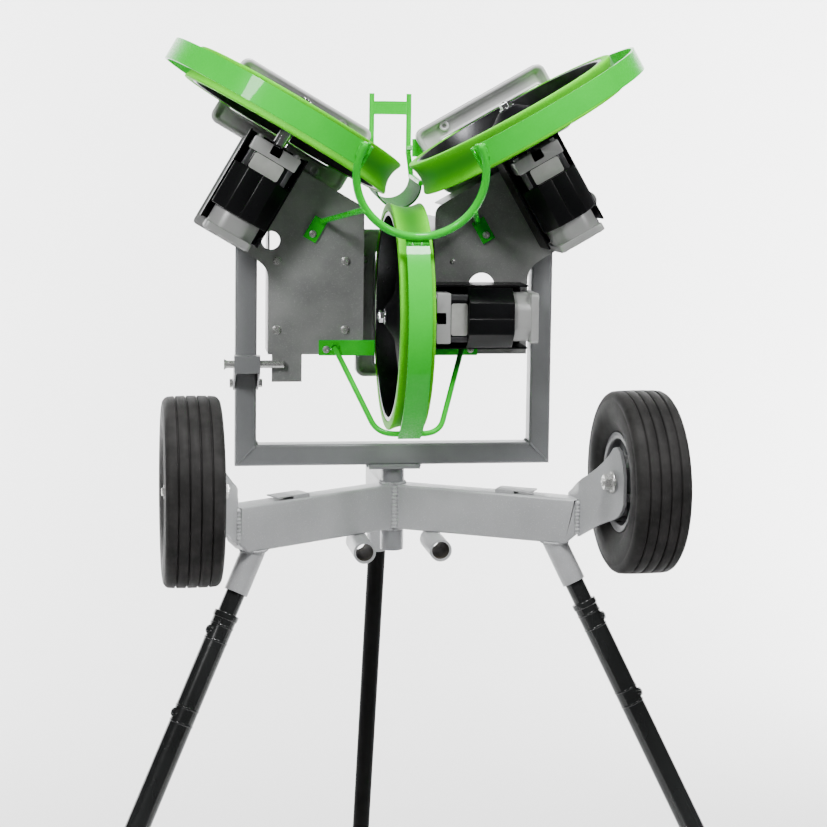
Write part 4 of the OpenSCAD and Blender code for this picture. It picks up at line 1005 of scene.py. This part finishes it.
leg = {
    "start": 302, "low": 1389, "lean": 28, "angles": {"left": 210, "right": 330}, "sleeve": 20,
    "sleeveStart": 116, "button": (34, 178), "swage": 13}


def legFrame(angle, start, low, lean):
    # A frame whose Z runs down a leg from the underside of its arm
    c, s = cosSin(angle)
    leanCos, leanSin = cosSin(lean)
    out = Vector((c, s, 0))
    down = out * leanSin - Vector((0, 0, 1)) * leanCos
    side = Vector((-s, c, 0))
    front = down.cross(side)
    begin = out * start + Vector((0, 0, low))

    def place(x, y, z):
        return basePlace(*(begin + front * x + side * y + down * z))
    return place


def makeLegDetails():
    look = leg
    start = look["sleeveStart"]
    rim = latheRing(rounded([(17, -1.5), (21.6, -1.5), (21.6, 8), (20.2, 10), (17, 10)],
                            [0.5, 1.8, 1.5, 0.5, 0.5], 3), 40)
    swage = latheRing(rounded([(19, -3), (20.9, -1.2), (20.9, 1.2), (19, 3)], [0, 1, 1, 0], 3), 40)
    pad = lathe([(0, 0), (7.4, 0), (7.4, 1.2), (6.6, 2.0), (4.4, 2.2), (4.2, 3.4), (3.4, 4.2), (0, 4.3)], 24)
    for name, angle in look["angles"].items():
        shapes = [moved(rim, 0, 0, start)]
        for z in look["button"]:
            shapes.append(along(pad, (look["sleeve"] + 1, 0, start + z), (1, 0, 0)))
            shapes += [moved(swage, 0, 0, start + z + step) for step in (-look["swage"], look["swage"])]
        place = legFrame(angle, look["start"], look["low"], look["lean"])
        addPiece(name + "LegButtons", shapes, place, tubeBlack, name + "_leg")


makeLegDetails()


# Rubber feet: a ribbed pad on the floor and a collar round the leg

foot = {
    "pad": 36, "padHeight": 12, "height": 34, "frontLean": 28, "rearLean": 15, "rearStart": 146,
    "front": 20, "rear": 16.5}


def makeFoot(name, angle, start, lean, legRadius, body):
    look = foot
    pad, high, collar = look["pad"], look["padHeight"], legRadius + 4
    c, s = cosSin(angle)
    reach = start + (base["low"] - high) * math.tan(math.radians(lean))

    def place(x, y, z):
        return basePlace(reach * c + x * c - y * s, reach * s + x * s + y * c, z)

    profile = rounded([(0, 0), (pad - 3, 0), (pad - 1, 2), (pad, 3.4), (pad - 1.4, 4.6), (pad, 5.8),
                       (pad - 1.4, 7), (pad - 0.6, 9), (pad - 3, high), (collar + 3.5, high + 3),
                       (collar, high + 8), (collar - 7, high + 11), (0, high + 11)],
                      [0, 1, 0.5, 0.5, 0.5, 0.5, 0.5, 1.5, 1.5, 1, 2, 2, 0], 3)
    bore, end = legRadius + 0.4, look["height"] + 4
    sleeve = [(bore, 15), (collar + 0.4, 15), (collar + 1.6, 17), (collar + 0.4, 19), (collar + 1.6, 21),
              (collar + 0.4, 23), (collar + 1.6, 25), (collar, 27.5), (collar, end - 2), (collar - 1.2, end),
              (bore, end)]
    leanCos, leanSin = cosSin(lean)
    shapes = [lathe(profile, 64),
              along(latheRing(rounded(sleeve, 0.9, 2), 48), (0, 0, 0), (-leanSin, 0, leanCos))]
    addPiece(name + "FootRubber", shapes, place, gripRubber, body, stands=name + "_foot")


makeFoot("left", 210, leg["start"], foot["frontLean"], foot["front"], "left_leg")
makeFoot("right", 330, leg["start"], foot["frontLean"], foot["front"], "right_leg")
makeFoot("rear", 90, foot["rearStart"], foot["rearLean"], foot["rear"], "base")


# Control box: rounded shell with a lid seam, knurled dials, a rocker switch in its bezel

controls = {
    "x": (-218, -80), "z": (-266, -112), "front": 63, "back": 152, "dialZ": -158, "step": 41,
    "switchZ": -222, "switchHalf": (11, 15), "flutes": 24, "dials": {"left": -1, "middle": 0, "right": 1}}


def makeControlBox():
    look = controls
    (low, high), (bottom, top) = look["x"], look["z"]
    centre, middle, back = (low + high) / 2, (bottom + top) / 2, look["back"]

    def ring(inset, y, corner=9):
        outline = roundRect(high - low - 2 * inset, top - bottom - 2 * inset, corner, 6)
        return [(x + centre, y, z + middle) for x, z in outline]

    front = look["front"]
    shapes = [loft([ring(0.6, front + 0.3), ring(0, front + 1), ring(0, back - 20), ring(1.2, back - 19.4),
                    ring(1.2, back - 18.2), ring(0, back - 17.6), ring(0, back - 3.4),
                    ring(0.5, back - 1.6, 8.5), ring(1.7, back - 0.4, 7.5), ring(3.2, back, 6)])]
    for x in (low + 11, high - 11):
        for z in (bottom + 11, top - 11):
            shapes += panScrew((x, back, z), (0, 1, 0), 4.4, 2.2)
    ridge = latheRing(rounded([(17.5, 0), (20, 0), (20, 1.2), (17.5, 1.2)], 0.5, 2), 48)
    for index in look["dials"].values():
        shapes.append(along(ridge, (centre + index * look["step"], back - 0.1, look["dialZ"]), (0, 1, 0)))
    wide, tall = (2 * half + 9 for half in look["switchHalf"])
    bezel = []
    for inset, y in ((0, 0), (0, 1.6), (1, 2.6), (3, 2.6), (3.4, 0)):
        outline = roundRect(wide - 2 * inset, tall - 2 * inset, max(1.5, 4 - inset), 5)
        bezel.append([(x + centre, back + y, z + look["switchZ"]) for x, z in outline])
    shapes.append(loft(bezel, caps=False))
    addPiece("controlBoxShell", shapes, headPlace, blackPlastic, "head",
             stands="control_box")


def makeDial(name, index):
    look = controls
    steps = look["flutes"] * 6
    rings = []
    for radius, height in ((0.2, 0.4), (14.2, 0.4), (15.2, 1.4), (15.4, 3.2), (14.2, 5), (13.6, 13.6),
                           (12.6, 15.4), (10.5, 16.2), (0.2, 16.2)):
        fluted = 4 < height < 15 and radius > 12
        ring = []
        for i in range(steps):
            turn = 2 * math.pi * i / steps
            size = radius + (0.55 * math.cos(turn * look["flutes"]) if fluted else 0)
            ring.append((size * math.cos(turn), size * math.sin(turn), height))
        rings.append(ring)
    spot = (sum(look["x"]) / 2 + index * look["step"], look["back"], look["dialZ"])
    mark = block((-0.9, 2, 15.4), (0.9, 13, 16.9), 0.4)
    shapes = [along(shape, spot, (0, 1, 0)) for shape in (loft(rings), mark)]
    addPiece(name + "DialKnob", shapes, headPlace, blackPlastic, name + "_dial_body",
             stands=name + "_dial")


makeControlBox()
for name, index in controls["dials"].items():
    makeDial(name, index)


# Aiming handle: a ribbed rubber grip on a bent tube

handle = {
    "y": 176, "z": -332, "rise": 70, "length": 170, "grip": 110, "radius": 11, "gripRadius": 16, "ribs": 16,
    "screwAt": 16}


def makeAimHandle():
    look = handle
    y, z, length, outer = look["y"], look["z"], look["length"], look["gripRadius"]
    leanCos, leanSin = cosSin(look["rise"])
    start, pitch = length - look["grip"], look["grip"] / look["ribs"]
    grip = [(0, start), (outer, start), (outer + 1.5, start + 2), (outer + 1.5, start + 5)]
    for i in range(1, look["ribs"] - 1):
        rib = start + i * pitch
        grip += [(outer - 1.6, rib), (outer - 0.2, rib + pitch * 0.3), (outer - 0.2, rib + pitch * 0.7)]
    grip += [(outer - 1, length - 4), (outer - 4, length - 0.8), (0, length)]
    plate = [moved(block((-24, 0, -10), (24, 6, 22), 1.6, 5), 0, y, z)]
    for x in (-look["screwAt"], look["screwAt"]):
        plate += panScrew((x, y + 6, z + 6), (0, 1, 0), 5, 3)
    radius, end = look["radius"], length - 4
    tube = lathe([(0, 4), (radius, 4), (radius, end), (0, end)], 32)
    tube, grip = (along(shape, (0, y, z), (0, leanSin, leanCos)) for shape in (tube, lathe(grip, 40)))
    addPiece("aimHandleTube", [tube] + plate, headPlace, blackPaint, "head",
             stands="aim_handle")
    addPiece("aimHandleGrip", [grip], headPlace, gripRubber, "head", flat=50,
             stands="aim_handle")


makeAimHandle()


# Swivel lock: a lobed knob on its clamp screw

lockKnob = {"y": 21.3, "z": 1485, "radius": 14, "lobes": 6, "lobeDepth": 1.9}


def makeLockKnob():
    look = lockKnob
    steps = look["lobes"] * 12
    outline = []
    for i in range(steps):
        turn = 2 * math.pi * i / steps
        size = look["radius"] - 1.6 + look["lobeDepth"] * math.cos(turn * look["lobes"])
        outline.append((size, math.cos(turn), math.sin(turn)))
    levels = ((0.55, 16), (0.94, 16), (1.0, 17.6), (1.0, 29.5), (0.93, 31.4), (0.7, 32), (0.2, 32.4))
    knob = loft([[(size * scale * c, size * scale * s, height) for size, c, s in outline]
                 for scale, height in levels])
    screw = lathe([(0, 0), (5, 0), (5, 9.5), (8, 9.5), (8.6, 11), (8.6, 16.4), (0, 16.4)], 32)
    addPiece("lockKnobHead", [along(shape, (0, look["y"], look["z"]), (0, 1, 0)) for shape in (knob, screw)],
             hubPlace, blackPlastic, "swivel_lock", stands="swivel_lock_knob")


makeLockKnob()
print("base, legs and rear details built")


# Camera at the photograph's place
photoCamera = {
    "from": (-382.4, -2916.7, 50.8), "yaw": 7.804, "pitch": -4.548, "roll": 0.725,
    "focal": 1723.66, "photoSide": 827, "centreUp": 118.47, "sensor": 36.0}


def makeCamera(look):
    (yawCos, yawSin), (pitchCos, pitchSin), (c, s) = (cosSin(look[key]) for key in ("yaw", "pitch", "roll"))
    ahead = Vector((yawSin * pitchCos, yawCos * pitchCos, pitchSin))
    right = Vector((yawCos, -yawSin, 0))
    up = right.cross(ahead)
    side = right * c + up * s
    top = up * c - right * s
    data = bpy.data.cameras.new("photoCamera")
    camera = bpy.data.objects.new("photoCamera", data)
    bpy.context.scene.collection.objects.link(camera)
    turn = Matrix((side, top, -ahead)).transposed().to_4x4()
    camera.matrix_world = Matrix.Translation(headPlace(*look["from"])) @ turn
    data.sensor_width = look["sensor"]
    data.lens = look["focal"] / look["photoSide"] * look["sensor"]
    data.shift_y = -look["centreUp"] / look["photoSide"]
    data.clip_end = 60
    bpy.context.scene.camera = camera


makeCamera(photoCamera)


# Studio: a pale floor that curves up into a wall, and soft lights
studio = {"floorHalf": 14.0, "front": -1.9, "wallAt": 7.0, "bend": 3.0, "wallTop": 12.0, "bendSteps": 16}


def makeStudio(look):
    mesh = bpy.data.meshes.new("studioFloor")
    profile = [(look["front"], 0.0), (look["wallAt"] - look["bend"], 0.0)]
    for step in range(1, look["bendSteps"] + 1):
        angle = math.pi / 2 * step / look["bendSteps"]
        profile.append((look["wallAt"] - look["bend"] + look["bend"] * math.sin(angle),
                        look["bend"] * (1 - math.cos(angle))))
    profile.append((look["wallAt"], look["wallTop"]))
    points = [(x, y, z) for y, z in profile for x in (-look["floorHalf"], look["floorHalf"])]
    faces = [(2 * i, 2 * i + 1, 2 * i + 3, 2 * i + 2) for i in range(len(profile) - 1)]
    mesh.from_pydata(points, [], faces)
    mesh.shade_smooth()
    floor = bpy.data.objects.new("studioFloor", mesh)
    bpy.context.scene.collection.objects.link(floor)
    mesh.materials.append(makeFinish("studioWhite", {
        "colour": (0.86, 0.86, 0.86), "shade": (0.84, 0.84, 0.84), "roughness": (0.85, 0.95),
        "driftScale": 0.6, "grainScale": 4.0, "relief": 0.0, "specular": 0.1}))


# Each light is (name, place, aim, width and height in metres, watts)
softboxes = (
    ("keyBox", (-2.6, -3.4, 4.2), (0, 0, 1.7), (1.0, 1.0), 150),
    ("fillBox", (2.8, -3.0, 4.6), (0, 0, 1.7), (1.1, 1.1), 110),
    ("topBox", (0.2, -1.5, 4.9), (0, -0.3, 1.7), (0.8, 0.75), 190),
    ("leftWallBox", (-4.6, 2.4, 2.4), (-1.4, 8.8, 1.8), (2.0, 4.0), 1300),
    ("rightWallBox", (4.6, 2.4, 2.4), (1.4, 8.8, 1.8), (2.0, 4.0), 1300))


def makeLights(boxes):
    for name, place, target, size, watts in boxes:
        data = bpy.data.lights.new(name, "AREA")
        data.shape = "RECTANGLE"
        data.size, data.size_y = size
        data.energy = watts
        lamp = bpy.data.objects.new(name, data)
        bpy.context.scene.collection.objects.link(lamp)
        lamp.location = place
        aim = Vector(target) - Vector(place)
        lamp.rotation_mode = "QUATERNION"
        lamp.rotation_quaternion = aim.to_track_quat("-Z", "Y")
    world = bpy.data.worlds.new("studioAir")
    bpy.context.scene.world = world
    world.use_nodes = True
    air = world.node_tree.nodes["Background"].inputs
    air["Color"].default_value = (1, 1, 1, 1)
    air["Strength"].default_value = 0.10


makeStudio(studio)
makeLights(softboxes)
print("studio and camera set")
